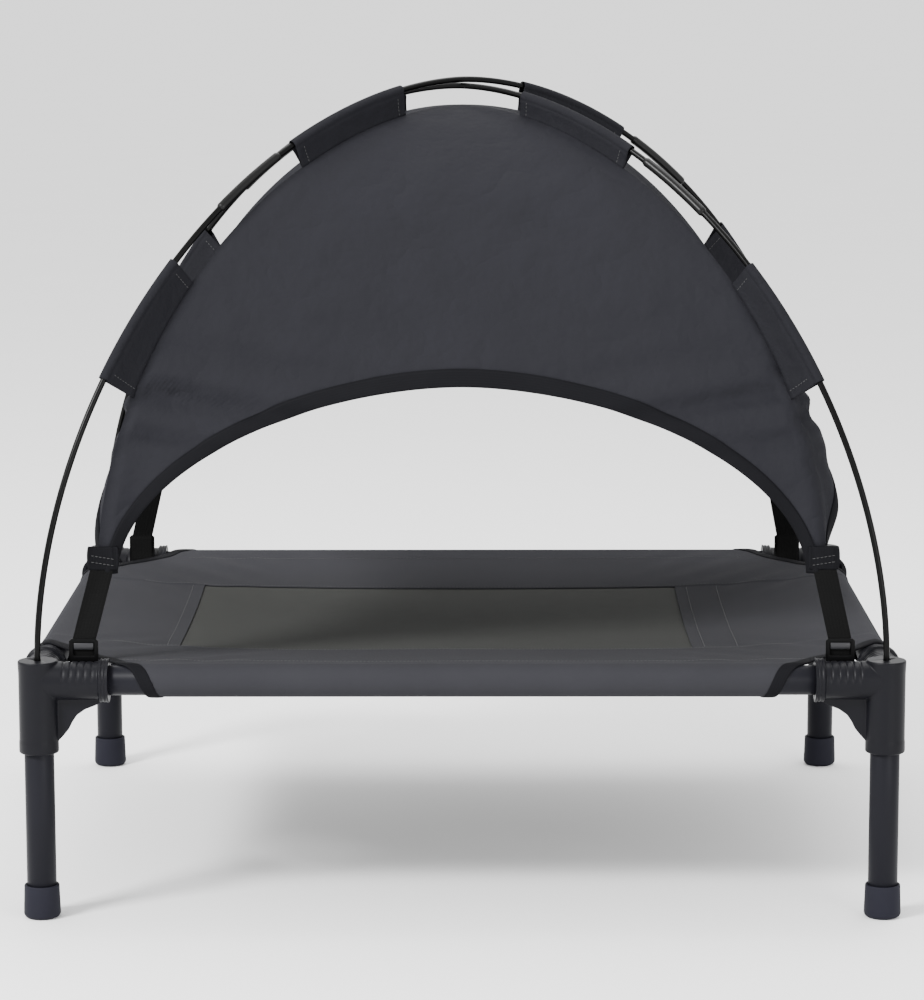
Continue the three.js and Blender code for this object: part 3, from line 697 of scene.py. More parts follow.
def smooth_line(points, count):
    """A Catmull-Rom curve through some points, sampled at even spacing."""
    steps = 24
    p = np.asarray(points, float)
    p = np.vstack([2 * p[0] - p[1], p, 2 * p[-1] - p[-2]])
    out = []
    for i in range(1, len(p) - 2):
        for t in np.linspace(0, 1, steps, endpoint=False):
            a, b, c, d = p[i - 1], p[i], p[i + 1], p[i + 2]
            out.append(0.5 * (2 * b + (c - a) * t + (2 * a - 5 * b + 4 * c - d) * t**2
                              + (3 * b - a - 3 * c + d) * t**3))
    out.append(p[-2])
    out = np.array(out)
    along = distance_along(out)
    even = np.linspace(0, along[-1], count)
    return np.column_stack([np.interp(even, along, out[:, k]) for k in range(p.shape[1])])


CUT = smooth_line(CORNER_CUT, 90) * MM


def smoothstep(low, high, value):
    """A soft step from 0 at low to 1 at high."""
    t = np.clip((value - low) / (high - low), 0, 1)
    return t * t * (3 - 2 * t)


def cloud(points, size, seed=0.0):
    """Smooth noise at points, from -1 to 1, with bumps about a size across."""
    shift = Vector((seed, seed * 1.7, -seed * 0.6))
    return np.array([noise.noise(Vector(p) / size + shift) for p in np.asarray(points)])


def bed_height(a, b):
    """Height of the sagging sheet between its rails."""
    along = 1 - np.minimum(1, np.abs(a) / half_x) ** 4
    across = 1 - np.minimum(1, np.abs(b) / half_y) ** 2
    return rail_z + SLEEVE_R - SAG * along * across


def wrapped(t, top):
    """Beyond a rail's axis: how far out, and how high, at a flat distance past it."""
    turn = np.minimum(t, WRAP) / SLEEVE_R
    out, up = SLEEVE_R * np.sin(turn), rail_z + SLEEVE_R * np.cos(turn)
    last_out, last_up = SLEEVE_R * math.sin(WRAP_TURN), rail_z + SLEEVE_R * math.cos(WRAP_TURN)
    back = np.maximum(0, t - WRAP) / HEM
    out = np.where(t > WRAP, last_out + (-SEAM_IN - last_out) * back, out)
    up = np.where(t > WRAP, last_up + (top - 1.4 * MM - last_up) * back, up)
    return out, up


def on_bed(a, b, lift=0.0):
    """Points in space for flat distances a (along) and b (across) from the bed's centre."""
    a, b = np.broadcast_arrays(np.asarray(a, float), np.asarray(b, float))

    def place(a, b):
        past_a, past_b = np.abs(a) - half_x, np.abs(b) - half_y
        top = bed_height(a, b)
        inner_a = bed_height(np.sign(a) * (half_x - SEAM_IN), b)
        inner_b = bed_height(a, np.sign(b) * (half_y - SEAM_IN))
        out_a, up_a = wrapped(np.maximum(past_a, 0), inner_a)
        out_b, up_b = wrapped(np.maximum(past_b, 0), inner_b)
        x = np.where(past_a > 0, np.sign(a) * (half_x + out_a), a)
        y = np.where(past_b > 0, np.sign(b) * (half_y + out_b), b)
        z = np.where(past_a > 0, up_a, np.where(past_b > 0, up_b, top))
        return np.stack([x, y, z], -1)

    step = 0.2 * MM
    normal = np.cross(place(a + step, b) - place(a - step, b), place(a, b + step) - place(a, b - step))
    return place(a, b) + unit(normal) * np.asarray(lift)[..., None]


def inside(points, polygon):
    """Which flat points lie inside a closed outline."""
    x, y = points[..., 0], points[..., 1]
    found = np.zeros(x.shape, bool)
    for (x0, y0), (x1, y1) in zip(polygon, np.roll(polygon, -1, 0)):
        crosses = (y0 > y) != (y1 > y)
        found ^= crosses & (x < (x1 - x0) * (y - y0) / (y1 - y0 + 1e-12) + x0)
    return found


print("the sheet goes", round(WRAP / MM, 1), "mm round each rail")

# %% [markdown]
# The real sheet is several pieces of heavy cloth sewn together, but they are pulled so tight
# that they read as one, with a window for the net. One grid is therefore laid over the flat
# pattern, the cells in the cut-outs and in the window are left out, and the points along each
# cut-out are moved onto its curve. Cutting with solids would leave a ragged rim.

# %% Bed sheet
FABRIC = 0.8 * MM
REACH = WRAP + HEM
GRID = 6 * MM
HAIR = 1e-6


def lines_between(stops, step):
    """Grid lines through every stop, about a step apart."""
    found = [stops[0]]
    for low, high in zip(stops, stops[1:]):
        count = max(1, round((high - low) / step))
        found += list(np.linspace(low, high, count + 1)[1:])
    return np.array(found)


def bed_ripples(a, b):
    """The sheet's unevenness: slack folds that run from the cut-outs towards the middle."""
    points = np.stack([a.ravel(), b.ravel(), np.zeros(a.size)], -1)
    flat = (cloud(points * np.array([1, 1.6, 1]), 0.16, 3.0) * 1.3).reshape(a.shape)
    u, w = half_x - np.abs(a), half_y - np.abs(b)
    near = np.exp(-((np.hypot(u - 0.04, w - 0.04) - 0.09) / 0.05) ** 2)
    folds = np.sin((u - w) / 0.0085 + np.sign(a) * 1.3 + np.sign(b)) * near * 0.7
    held = smoothstep(0, 0.03, np.minimum(u, w))
    return (flat + folds) * held * MM


def bed_grid():
    """Flat points of a grid that has a line on each fold, rail and window edge."""
    seam = 0.5 * MM
    (low, high), far_a, far_b = WINDOW, half_x + REACH, half_y + REACH
    a_lines = lines_between([-far_a, -half_x - WRAP, -half_x, low.x - seam, low.x, 0, high.x,
                             high.x + seam, half_x, half_x + WRAP, far_a], GRID)
    b_lines = lines_between([-far_b, -half_y - WRAP, -half_y, -high.y - seam, -high.y, 0, high.y,
                             high.y + seam, half_y, half_y + WRAP, far_b], GRID)
    return np.meshgrid(a_lines, b_lines, indexing="ij")


def bed_cells(a, b):
    """Cells of the grid that are cloth: not in a cut-out corner and not in the window."""
    low, high = WINDOW
    beyond = 0.2
    outline = np.vstack([CUT, [[-beyond, beyond], [-beyond, -beyond], [beyond, -beyond]]])
    cut = inside(np.stack([half_x - np.abs(a), half_y - np.abs(b)], -1), outline)
    gone = cut | ((a > low.x + HAIR) & (a < high.x - HAIR) & (np.abs(b) < high.y - HAIR))
    rows, columns = a.shape
    return [(i, j) for i in range(rows - 1) for j in range(columns - 1)
            if not gone[i:i + 2, j:j + 2].any()
            and not (low.x - HAIR < (a[i, j] + a[i + 1, j]) / 2 < high.x + HAIR
                     and abs(b[i, j] + b[i, j + 1]) / 2 < high.y)]


def rim_on_curve(a, b, cells):
    """The grid with the points beside each cut-out moved onto a curve just inside its tape."""
    under_tape, nearby = 3 * MM, 9 * MM
    inner = CUT + np.array([1, 1]) / math.sqrt(2) * under_tape
    flat = np.stack([half_x - np.abs(a), half_y - np.abs(b)], -1)
    away = np.linalg.norm(flat[:, :, None, :] - inner[None, None], axis=-1)
    uses = np.zeros(a.shape, int)
    for i, j in cells:
        uses[i:i + 2, j:j + 2] += 1
    rim = (uses > 0) & (uses < 4) & (away.min(-1) < nearby)
    flat = np.where(rim[..., None], inner[away.argmin(-1)], flat)
    return np.sign(a) * (half_x - flat[..., 0]), np.sign(b) * (half_y - flat[..., 1])


def bed_sheet():
    a, b = bed_grid()
    cells = bed_cells(a, b)
    a, b = rim_on_curve(a, b, cells)
    band = np.where(np.abs(b) > WINDOW[1].y + 0.25 * MM, BAND_LIFT, 0.0)
    points = on_bed(a, b, band + bed_ripples(a, b)).reshape(-1, 3)
    index = np.arange(a.size).reshape(a.shape)
    faces = [(index[i, j], index[i + 1, j], index[i + 1, j + 1], index[i, j + 1]) for i, j in cells]
    used = np.unique(np.array(faces))
    order = np.full(a.size, -1)
    order[used] = np.arange(len(used))
    made = piece("bed_sheet", points[used], order[np.array(faces)], "bed", "bed_fabric",
                 ["bed_band_front", "bed_band_rear", "bed_panel_left", "bed_panel_right"],
                 uv=np.stack([a, b], -1).reshape(-1, 2)[used])
    thickened(made, FABRIC)


bed_sheet()

# %% [markdown]
# The net is sewn under the window's edge. Its holes are far too many to cut, so it is a plain
# thin sheet, and the net's finish draws the holes as dark spots: painted shade of the space
# under the bed that shows through them.

# %% Net window
NET = 0.5 * MM


def net_window():
    low, high = WINDOW
    under = 12 * MM
    a, b = np.meshgrid(np.linspace(low.x - under, high.x + under, 70),
                       np.linspace(low.y - under, high.y + under, 46), indexing="ij")
    beyond = np.maximum(np.maximum(low.x - a, a - high.x), np.maximum(low.y - b, b - high.y))
    lift = bed_ripples(a, b) - NET - smoothstep(-4 * MM, 2 * MM, beyond) * 0.6 * MM
    points = on_bed(a, b, lift).reshape(-1, 3)
    made = piece("net_window", points, grid_faces(*a.shape), "bed", "net", ["bed_net_window"],
                 uv=np.stack([a, b], -1).reshape(-1, 2))
    thickened(made, NET)
    print("net window", [round(v, 3) for v in made.dimensions], "m")


net_window()

# %% [markdown]
# ## Stitches
# A seam is drawn by its thread. Dashes painted in the material would do from far off, but would
# lie flat in a close view. So each stitch is a tiny bent rod that rises out of the cloth and
# dives back in, about 3 mm long, and all the stitches of one seam are one piece.

# %% Stitches
PITCH, LONG, THICK = 3.4 * MM, 2.5 * MM, 0.26 * MM


def stitched(name, lines, body, slot):
    """lines holds pairs: the points of a seam, and the cloth's outward direction at each."""
    ring = np.linspace(0, 2 * math.pi, 5, endpoint=False)
    share = np.array([0.0, 0.18, 0.5, 0.82, 1.0])
    rise = np.array([-0.25, 0.10, 0.22, 0.10, -0.25]) * MM
    swell = np.array([0.35, 0.9, 1.0, 0.9, 0.35]) * THICK
    rings, count = [], 0
    for line, normals in lines:
        line, normals = np.asarray(line), np.asarray(normals)
        along = distance_along(line)
        for start in np.arange(PITCH / 2, along[-1] - LONG, PITCH):
            at = start + share * LONG
            middle = np.column_stack([np.interp(at, along, line[:, k]) for k in range(3)])
            up = unit(np.column_stack([np.interp(at, along, normals[:, k]) for k in range(3)]))
            middle = middle + up * rise[:, None]
            side = unit(np.cross(np.gradient(middle, axis=0), up))
            across = np.cos(ring)[None, :, None] * side[:, None] + np.sin(ring)[None, :, None] * up[:, None]
            rings.append((middle[:, None] + swell[:, None, None] * across).reshape(-1, 3))
            count += 1
    stitch = closed_faces(len(share), len(ring))
    size = len(share) * len(ring)
    faces = [tuple(size * n + k for k in f) for n in range(count) for f in stitch]
    print(name, count, "stitches")
    return outward(piece(name, np.concatenate(rings), faces, body, slot, finish="thread"))


def bed_seam(a, b, count=240):
    """A seam along a straight flat line of the bed, from one flat point to another."""
    a, b = np.linspace(*a, count), np.linspace(*b, count)
    raised = np.where(np.abs(b) > WINDOW[1].y + 0.2 * MM, BAND_LIFT, 0.0)
    top = raised + bed_ripples(a, b) + FABRIC / 2
    base = on_bed(a, b, top)
    return base, on_bed(a, b, top + 1 * MM) - base


def bed_stitching():
    """Seams along the two bands, along the rail pockets and down the window's sides."""
    low, high = WINDOW
    front, rear = half_x - 54 * MM, half_x - 84 * MM
    seams = [bed_seam((low.x - 60 * MM, high.x + 90 * MM), (sign * (high.y + 3.5 * MM),) * 2)
             for sign in (-1, 1)]
    seams += [bed_seam((-front, front), (-(half_y - SEAM_IN),) * 2),
              bed_seam((-rear, rear), (half_y - SEAM_IN,) * 2)]
    seams += [bed_seam((x, x), (-high.y + 2 * MM, high.y - 2 * MM))
              for x in (low.x - 11 * MM, high.x + 11 * MM, high.x + 40 * MM)]
    stitched("bed_stitching", seams, "bed", "bed_fabric")


bed_stitching()

# %% [markdown]
# ## Bound edges
# A binding is a tape folded over a raw edge. Its section is a flat U: up one side of the cloth,
# round the edge and down the other. It is carried along the cut-out's flat outline and then
# wrapped with the sheet, so it turns round the rails as the real one does.

# %% Corner bindings
U_SECTION = np.array([(10, 0.55), (10, 1.15), (7, 1.35), (3, 1.35), (0.6, 1.2), (-0.6, 0.8),
                      (-1.0, 0.0), (-0.6, -0.8), (0.6, -1.2), (3, -1.3), (10, -1.2), (10, -0.55),
                      (4, -0.55), (4, 0.55)]) * MM


def corner_binding(corner, sx, sy):
    """One bound cut-out. Its tape stops a little short of the sheet's hem at both ends."""
    line = CUT[4:-4]
    direction = unit(np.gradient(line, axis=0))
    inward = np.column_stack([-direction[:, 1], direction[:, 0]])
    inward *= np.sign(inward[len(inward) // 2].sum())
    flat = line[:, None] + inward[:, None] * U_SECTION[None, :, :1]
    a, b = sx * (half_x - flat[..., 0]), sy * (half_y - flat[..., 1])
    lift = np.broadcast_to(U_SECTION[None, :, 1], a.shape)
    lift = lift + np.where(np.abs(b) > WINDOW[1].y, BAND_LIFT, 0.0) + bed_ripples(a, b)
    points = on_bed(a, b, lift)
    uv = cloth_map(distance_along(U_SECTION), distance_along(line))
    made = piece(f"corner_binding_{corner}", points.reshape(-1, 3), closed_faces(*a.shape), "bed",
                 "binding", [f"corner_tape_{corner}"], uv=uv)
    outward(made)
    modifier(made, "SUBSURF", levels=1, render_levels=1)
    apply_all(made)


for corner, (sx, sy) in CORNERS.items():
    corner_binding(corner, sx, sy)
print("4 bound corners,", round(distance_along(CUT)[-1], 3), "m of tape each")

# %% [markdown]
# ## Strap hooks
# A hook is one bent strip of plastic. Its jaw grips the arm of the corner fitting from below,
# and its upright plate has a window. The strap goes in through the window and is held behind
# the bar at the top, a separate piece that is paler: partly its own grey and partly a painted
# highlight on the top it turns to the light. A box with a hole cut in it would give the plate
# but not the jaw, so one grid follows the bent strip and leaves the window out.

# %% Strap hooks
JAW = 18.4 * MM
PLATE = 1.6 * MM
JAW_ROWS, UPRIGHT_ROWS = 16, 18
HOOK_CORNER = 2.2 * MM
WINDOW_SHARE = 0.78


def strap_hook(corner, sy):
    """The plate follows a path seen from the side: a jaw's arc, then straight up."""
    low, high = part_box(f"strap_hook_{corner}")
    middle = (low.x + high.x) / 2
    half = (high.x - low.x) / 2
    top = high.z - rail_z
    angle = np.radians(np.linspace(-78, 0, JAW_ROWS))
    path = np.vstack([np.column_stack([JAW * np.cos(angle), JAW * np.sin(angle)]),
                      np.column_stack([np.full(UPRIGHT_ROWS, JAW), np.linspace(1 * MM, top, UPRIGHT_ROWS)])])
    share = np.linspace(-1, 1, 15)
    rows, columns = len(path), len(share)
    points = np.empty((rows, columns, 3))
    for i, (y, z) in enumerate(path):
        from_end = min(z - path[0][1], top - z) if i > JAW_ROWS else (i + 0.5) * 1.6 * MM
        missing = max(0, HOOK_CORNER - from_end)
        corner_cut = HOOK_CORNER - math.sqrt(max(0, HOOK_CORNER ** 2 - missing ** 2))
        points[i, :, 0] = share * (half - corner_cut)
        points[i, :, 1] = -sy * y
        points[i, :, 2] = rail_z + z
    window = (path[:, 1] > 16.5 * MM) & (path[:, 1] < top - 2.6 * MM)
    faces = [f for f in grid_faces(rows, columns)
             if not (window[f[0] // columns] and window[f[2] // columns]
                     and abs(share[f[0] % columns] + share[f[1] % columns]) / 2 < WINDOW_SHARE)]
    place_at = np.array([middle, sy * half_y, 0])
    made = piece(f"hook_plate_{corner}", points.reshape(-1, 3) + place_at, faces, "bed", "buckle",
                 [f"strap_hook_{corner}"])
    modifier(made, "SOLIDIFY", thickness=PLATE, offset=0)
    modifier(made, "BEVEL", width=0.45 * MM, segments=2, angle_limit=math.radians(50))
    apply_all(made)
    bar_profile = [(0, -half + 1.2 * MM), *fillet(2.1 * MM, -half + 2.0 * MM, 0.8 * MM, -90, 0, 4),
                   *fillet(2.1 * MM, half - 2.0 * MM, 0.8 * MM, 0, 90, 4), (0, half - 1.2 * MM)]
    points, faces = turned(bar_profile, 24)
    points = points[:, [2, 0, 1]] * np.array([0.74, 0.42, 1.05])
    points = points + np.array([middle, sy * (half_y - JAW), rail_z + 26 * MM])
    welded(piece(f"hook_bar_{corner}", points, faces, "bed", "buckle", [f"strap_hook_{corner}"],
                 finish="bar"))
    return made


for corner, (_, sy) in CORNERS.items():
    made = strap_hook(corner, sy)
    print(made.name, [round(v / MM, 1) for v in made.dimensions], "mm")

# %% [markdown]
# ## Poles
# Each pole rises straight out of its corner socket and bends over the bed in a curve a little
# flatter on its shoulders than an ellipse. The upper pole runs from the front left to the rear right corner.
# Ferrules, the short black sleeves, join each pole's three lengths. A curve with a bevel makes
# a rod quickly, but a ring carried along the formula can also be cut at any place, and the
# canopy can ask the same formula where the pole is.

# %% Pole line
POLE = 2.75 * MM
POLE_SQUARENESS = 1.85    # 2 would be an ellipse, and less is flatter on the shoulders
POLE_POWER = 2 / POLE_SQUARENESS
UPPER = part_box("pole_middle_upper")[1].z - POLE
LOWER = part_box("pole_middle_lower")[1].z - POLE
SOCKET = 27.7 * MM
POLES = {"upper": (1, UPPER, "rear_right", "front_left"), "lower": (-1, LOWER, "front_right", "rear_left")}


def pole_at(level, angle):
    """A point of a pole at an angle from its right end, as distance from the centre and height."""
    crown = POLES[level][1]
    c, s = np.cos(angle), np.maximum(np.sin(angle), 0)
    return diagonal * np.sign(c) * np.abs(c) ** POLE_POWER, post_top + (crown - post_top) * s ** POLE_POWER


def pole_angle(distance):
    """The angle at which a pole passes a distance from the centre."""
    angle = np.arccos((np.abs(distance) / diagonal) ** (1 / POLE_POWER))
    return np.where(distance < 0, math.pi - angle, angle)


def in_plane(level, distance, height, out=0.0):
    """Room coordinates from a distance and height in a pole's own upright plane."""
    along = np.array([half_x, POLES[level][0] * half_y, 0]) / diagonal
    aside = np.array([along[1], -along[0], 0])
    distance, height, out = np.broadcast_arrays(distance, height, out)
    return (distance[..., None] * along + out[..., None] * aside
            + height[..., None] * np.array([0, 0, 1.0]))


def swept(line, radii, sides=16):
    """A round rod along a line of points, with its own radius at each."""
    line = np.asarray(line)
    along = unit(np.gradient(line, axis=0))
    side = unit(np.cross(along, np.array([0.02, 0.03, 1.0])))
    up = np.cross(side, along)
    turn = np.linspace(0, 2 * math.pi, sides, endpoint=False)
    rings = line[:, None] + np.asarray(radii)[:, None, None] * (
        np.cos(turn)[None, :, None] * side[:, None] + np.sin(turn)[None, :, None] * up[:, None])
    return rings.reshape(-1, 3), closed_faces(len(line), sides)


print("poles", round(UPPER, 3), "and", round(LOWER, 3), "m high")

# %% Poles and ferrules
FERRULE = (205 * MM, 268 * MM)
FERRULE_RADIUS = 4.1 * MM
JOINT_GAP = 0.1 * MM


def rounded_radii(line, radius, soft):
    """Radii that round off both ends of a rod."""
    along = distance_along(line)
    to_end = np.minimum(along, along[-1] - along)
    return radius - soft + np.sqrt(np.maximum(0, soft ** 2 - np.maximum(0, soft - to_end) ** 2))


def poles():
    """Both poles, each in three lengths that meet inside its ferrules."""
    joint = (FERRULE[0] + FERRULE[1]) / 2
    for level, (_, _, right, left) in POLES.items():
        cuts = pole_angle(np.array([joint - JOINT_GAP, -joint + JOINT_GAP]))
        middle = in_plane(level, *pole_at(level, np.linspace(cuts[0], cuts[1], 90)))
        points, faces = swept(middle, np.full(len(middle), POLE))
        outward(piece(f"pole_{level}_middle", points, faces, "tent", "pole", [f"pole_middle_{level}"]))
        for sign, end in ((1, right), (-1, left)):
            start = 0.0 if sign > 0 else math.pi
            stop = pole_angle(sign * (joint + JOINT_GAP))
            arch = in_plane(level, *pole_at(level, np.linspace(start, stop, 80)))
            socket = np.linspace(post_top - SOCKET, post_top, 9)[:-1]
            straight = in_plane(level, np.full(8, sign * diagonal), socket)
            line = np.vstack([straight, arch])
            points, faces = swept(line, rounded_radii(line, POLE, 0.4 * MM))
            outward(piece(f"pole_{end}", points, faces, "tent", "pole", [f"pole_end_{end}"]))
            reach = np.linspace(*[float(pole_angle(sign * d)) for d in FERRULE], 40)
            line = in_plane(level, *pole_at(level, reach))
            points, faces = swept(line, rounded_radii(line, FERRULE_RADIUS, 0.9 * MM), 24)
            outward(piece(f"ferrule_{level}_{end}", points, faces, "tent", "ferrule", [f"ferrule_{end}"]))
        print("pole", level, "from", left, "to", right)


poles()

# %% [markdown]
# ## The canopy as one sheet
# The canopy is one curved sheet: four panels that meet at four ridges below the poles, with a
# round door cut in each. A panel bends one way only, so it is worked out as a height for each
# point of its upright outline. The rows run from a door's edge up to the top, the columns along
# the door. A cloth simulation could find the shape as well, but the cloth is held all round and
# barely hangs, so a curve fitted to the real one is closer and the same on every run.

# %% Shape of a panel
CUFF_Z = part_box("canopy_front")[0].z
CUFF_REACH = 399 * MM
RIDGE_SQUARENESS = 1.87
RIDGE_POWER = 2 / RIDGE_SQUARENESS
CANOPY_TOP = UPPER - 23 * MM
RIDGE_RISE = CANOPY_TOP - CUFF_Z
DOOR_SQUARENESS = 1.85
DOOR_POWER = 2 / DOOR_SQUARENESS
DOOR_RISE = {"front": 159 * MM, "side": 132 * MM}
DOOR_SET_IN = 16.5 * MM
PANELS = {"front": ("front", 0), "right": ("side", 90), "rear": ("front", 180), "left": ("side", 270)}


def ridge_angle(z):
    """The angle up the ridge's curve at which it reaches a height."""
    return np.arcsin(np.clip((z - CUFF_Z) / RIDGE_RISE, 0, 1) ** (1 / RIDGE_POWER))


def ridge_reach(angle):
    return CUFF_REACH * np.maximum(0, np.cos(angle)) ** RIDGE_POWER


def ridge_height(angle):
    return CUFF_Z + RIDGE_RISE * np.maximum(0, np.sin(angle)) ** RIDGE_POWER


def panel_sizes(kind):
    """Half the frame's size across a panel, and from the middle out to it."""
    return (half_x, half_y) if kind == "front" else (half_y, half_x)


def door_edge(kind, turn, grow=0.0, grow_foot=0.0):
    """The door's outline at a turn from 0 (left cuff) to pi (right cuff): x and height."""
    wide, _ = panel_sizes(kind)
    c, s = np.cos(turn), np.maximum(np.sin(turn), 0)
    half = CUFF_REACH * wide / diagonal - DOOR_SET_IN + grow_foot
    return -half * np.sign(c) * np.abs(c) ** DOOR_POWER, CUFF_Z + (DOOR_RISE[kind] + grow) * s ** DOOR_POWER


def panel_frame(name, x, angle, lift):
    """Room coordinates of a panel's point, given along the door, up the ridge and out."""
    kind, quarter = PANELS[name]
    _, deep = panel_sizes(kind)
    step = 1e-4
    low, high = np.maximum(angle - step, 0), np.minimum(angle + step, math.pi / 2)
    dy = -(ridge_reach(high) - ridge_reach(low)) * deep / diagonal
    dz = ridge_height(high) - ridge_height(low)
    size = np.maximum(np.hypot(dy, dz), 1e-12)
    y = -ridge_reach(angle) * deep / diagonal - lift * dz / size
    z = ridge_height(angle) + lift * dy / size
    around = math.radians(quarter)
    return np.stack([x * math.cos(around) - y * math.sin(around),
                     x * math.sin(around) + y * math.cos(around), z], -1)


def arc_length(kind):
    """Length of cloth up a panel, for laying its weave flat."""
    angle = np.linspace(0, math.pi / 2, 400)
    _, deep = panel_sizes(kind)
    y, z = ridge_reach(angle) * deep / diagonal, ridge_height(angle)
    length = np.concatenate([[0], np.cumsum(np.hypot(np.diff(y), np.diff(z)))])
    return angle, length


print("canopy from", round(CUFF_Z, 3), "to", round(CANOPY_TOP, 3), "m")

# %% [markdown]
# Cloth that hangs from a few points is never smooth. The slack lies in broad soft waves and
# small creases, the legs fall in upright pleats, the lower sleeves drag it into short level
# folds, and the middle of each panel lies a little hollow. Each of these is a height in
# millimetres, worked out from the place on the panel, and the sum moves the cloth in or out.

# %% Slack of a panel
WAVE, CREASE, PLEAT, DRAG = 4.0, 1.4, 3.0, 4.4    # heights in mm
WAVE_SIZE, CREASE_SIZE = 0.22, 0.055
PLEAT_WIDTH, DRAG_WIDTH = 0.0075, 0.0066
DRAG_HEIGHT, DRAG_SPREAD = 0.38, 0.11
HOLLOW = {"front": (6.0, 2), "side": (15.0, 6)}    # depth in mm, and how flat its middle is
BULGE = {"right": 21.0, "left": 7.0}    # mm that a side panel's legs stand out


def panel_lift(name, x, angle):
    """How far the cloth stands out from its plain curve, in metres."""
    kind, quarter = PANELS[name]
    wide, _ = panel_sizes(kind)
    seed = quarter / 17.0
    z = ridge_height(angle)
    up = (z - CUFF_Z) / RIDGE_RISE
    edge = ridge_reach(angle) * wide / diagonal
    inset = edge - np.abs(x)
    free = smoothstep(0.0, 0.035, inset)
    flat = np.stack([x.ravel(), z.ravel(), np.full(x.size, seed)], -1)
    wave = cloud(flat * np.array([1, 0.8, 1]), WAVE_SIZE, seed).reshape(x.shape) * WAVE
    crease = cloud(flat * np.array([0.5, 1.6, 1]), CREASE_SIZE, seed + 9).reshape(x.shape) * CREASE
    leg = smoothstep(0.30, 0.0, up)
    pleats = np.sin((np.abs(x) - edge) / PLEAT_WIDTH + seed + z * 6) * leg * PLEAT
    pull = np.exp(-((up - DRAG_HEIGHT) / DRAG_SPREAD) ** 2) * smoothstep(0.26, 0.02, inset)
    turn = (z + inset * 0.16) / DRAG_WIDTH + seed * 3 + wave * 0.25
    drag = (np.sin(turn) + 0.35 * np.sin(2 * turn + 0.8)) * pull * DRAG
    depth, square = HOLLOW[kind]
    across = np.clip(1 - np.abs(x / np.maximum(edge, 1e-6)) ** square, 0, 1)
    hollow = -depth * np.sin(np.clip(up, 0, 1) * math.pi) * across
    bulge = BULGE.get(name, 0.0) * np.exp(-((up - 0.24) / 0.20) ** 4) * (
        free * smoothstep(0.30, 0.06, inset))
    return ((wave + crease + hollow) * free + (pleats + drag) * smoothstep(0, 0.012, inset) + bulge) * MM

# %% Canopy sheet
CANOPY = 0.5 * MM
ALONG, UP = 144, 96
UNDER_TAPE = 3 * MM
LAID_OUT = {"front": (0, 0), "right": (1.1, 0), "rear": (0, 1.1), "left": (1.1, 1.1)}


def panel_grid(name):
    """A panel's grid, as distances along the door and angles up the ridge."""
    kind, _ = PANELS[name]
    wide, _ = panel_sizes(kind)
    turn = np.linspace(0, math.pi, ALONG + 1)
    x0, z0 = door_edge(kind, turn, UNDER_TAPE, UNDER_TAPE)
    first = ridge_angle(z0)
    share = x0 / (ridge_reach(first) * wide / diagonal)
    rise = np.linspace(0, 1, UP + 1)[:, None]
    angle = first + (math.pi / 2 - 1e-3 - first) * rise
    spread = 2 * np.linspace(0, 1, ALONG + 1) - 1
    across = share + (spread - share) * rise ** 0.7
    across[:, 0], across[:, -1] = -1, 1
    across = np.clip(across, -1, 1)
    return across * (ridge_reach(angle) * wide / diagonal), angle


def canopy():
    """Four panels whose grids meet point for point on the ridges, welded into one sheet."""
    points, faces, flat = [], [], []
    first = 0
    for name, (kind, _) in PANELS.items():
        x, angle = panel_grid(name)
        table, length = arc_length(kind)
        points.append(panel_frame(name, x, angle, panel_lift(name, x, angle)).reshape(-1, 3))
        laid = np.stack([x, np.interp(angle, table, length)], -1) + LAID_OUT[name]
        flat.append(laid.reshape(-1, 2))
        faces += [tuple(first + k for k in f) for f in grid_faces(*x.shape)]
        first += x.size
    made = piece("canopy_sheet", np.concatenate(points), faces, "tent", "canopy_fabric",
                 [f"canopy_{n}" for n in PANELS], uv=np.concatenate(flat))
    bm = bmesh.new()
    bm.from_mesh(made.data)
    bmesh.ops.remove_doubles(bm, verts=bm.verts, dist=0.05 * MM)
    bmesh.ops.recalc_face_normals(bm, faces=bm.faces)
    bm.to_mesh(made.data)
    bm.free()
    thickened(made, CANOPY)


canopy()

# %% [markdown]
# ## Door bindings
# A tape is folded over each door's edge. It could be a flat strip laid on top, but it would
# show no edge from the side. So its section is the same U as at the bed's corners, carried
# along the door with the panel's own folds.

# %% Door bindings
TAPE, TAPE_AT_FOOT = 15 * MM, 10.5 * MM


def door_binding(name):
    """One door's tape. Its section is in shares of the tape's width and mm of lift."""
    kind, _ = PANELS[name]
    turn = np.linspace(0, math.pi, 150)
    section = np.array([(1.0, 0.4), (1.0, 1.3), (0.75, 1.6), (0.5, 1.65), (0.25, 1.6), (0.06, 1.3),
                        (-0.02, 0.7), (-0.04, 0.0), (-0.02, -0.7), (0.06, -1.3), (0.25, -1.6),
                        (0.5, -1.65), (0.75, -1.6), (1.0, -1.3), (1.0, -0.4), (0.5, -0.4), (0.5, 0.4)])
    points = np.empty((len(turn), len(section), 3))
    for j, (reach, lift) in enumerate(section):
        x, z = door_edge(kind, turn, reach * TAPE, reach * TAPE_AT_FOOT)
        angle = ridge_angle(z)
        points[:, j] = panel_frame(name, x, angle, lift * MM + panel_lift(name, x, angle))
    fold = int(np.argmin(section[:, 0]))
    across = section[:, 0] * TAPE + section[:, 1] * MM
    along = distance_along(points[:, fold])
    print("door binding", name, round(along[-1], 3), "m")
    return outward(piece(f"door_binding_{name}", points.reshape(-1, 3), closed_faces(*points.shape[:2]),
                         "tent", "binding", [f"door_tape_{name}"], uv=cloth_map(across, along)))


for name in PANELS:
    door_binding(name)

# %% [markdown]
# ## Cuffs
# At each foot of the canopy the corner of the cloth is gathered and sewn to the strap with two
# rows of stitches. The bunched cloth can't be seen into, so a soft block with a few upright
# folds stands for it.

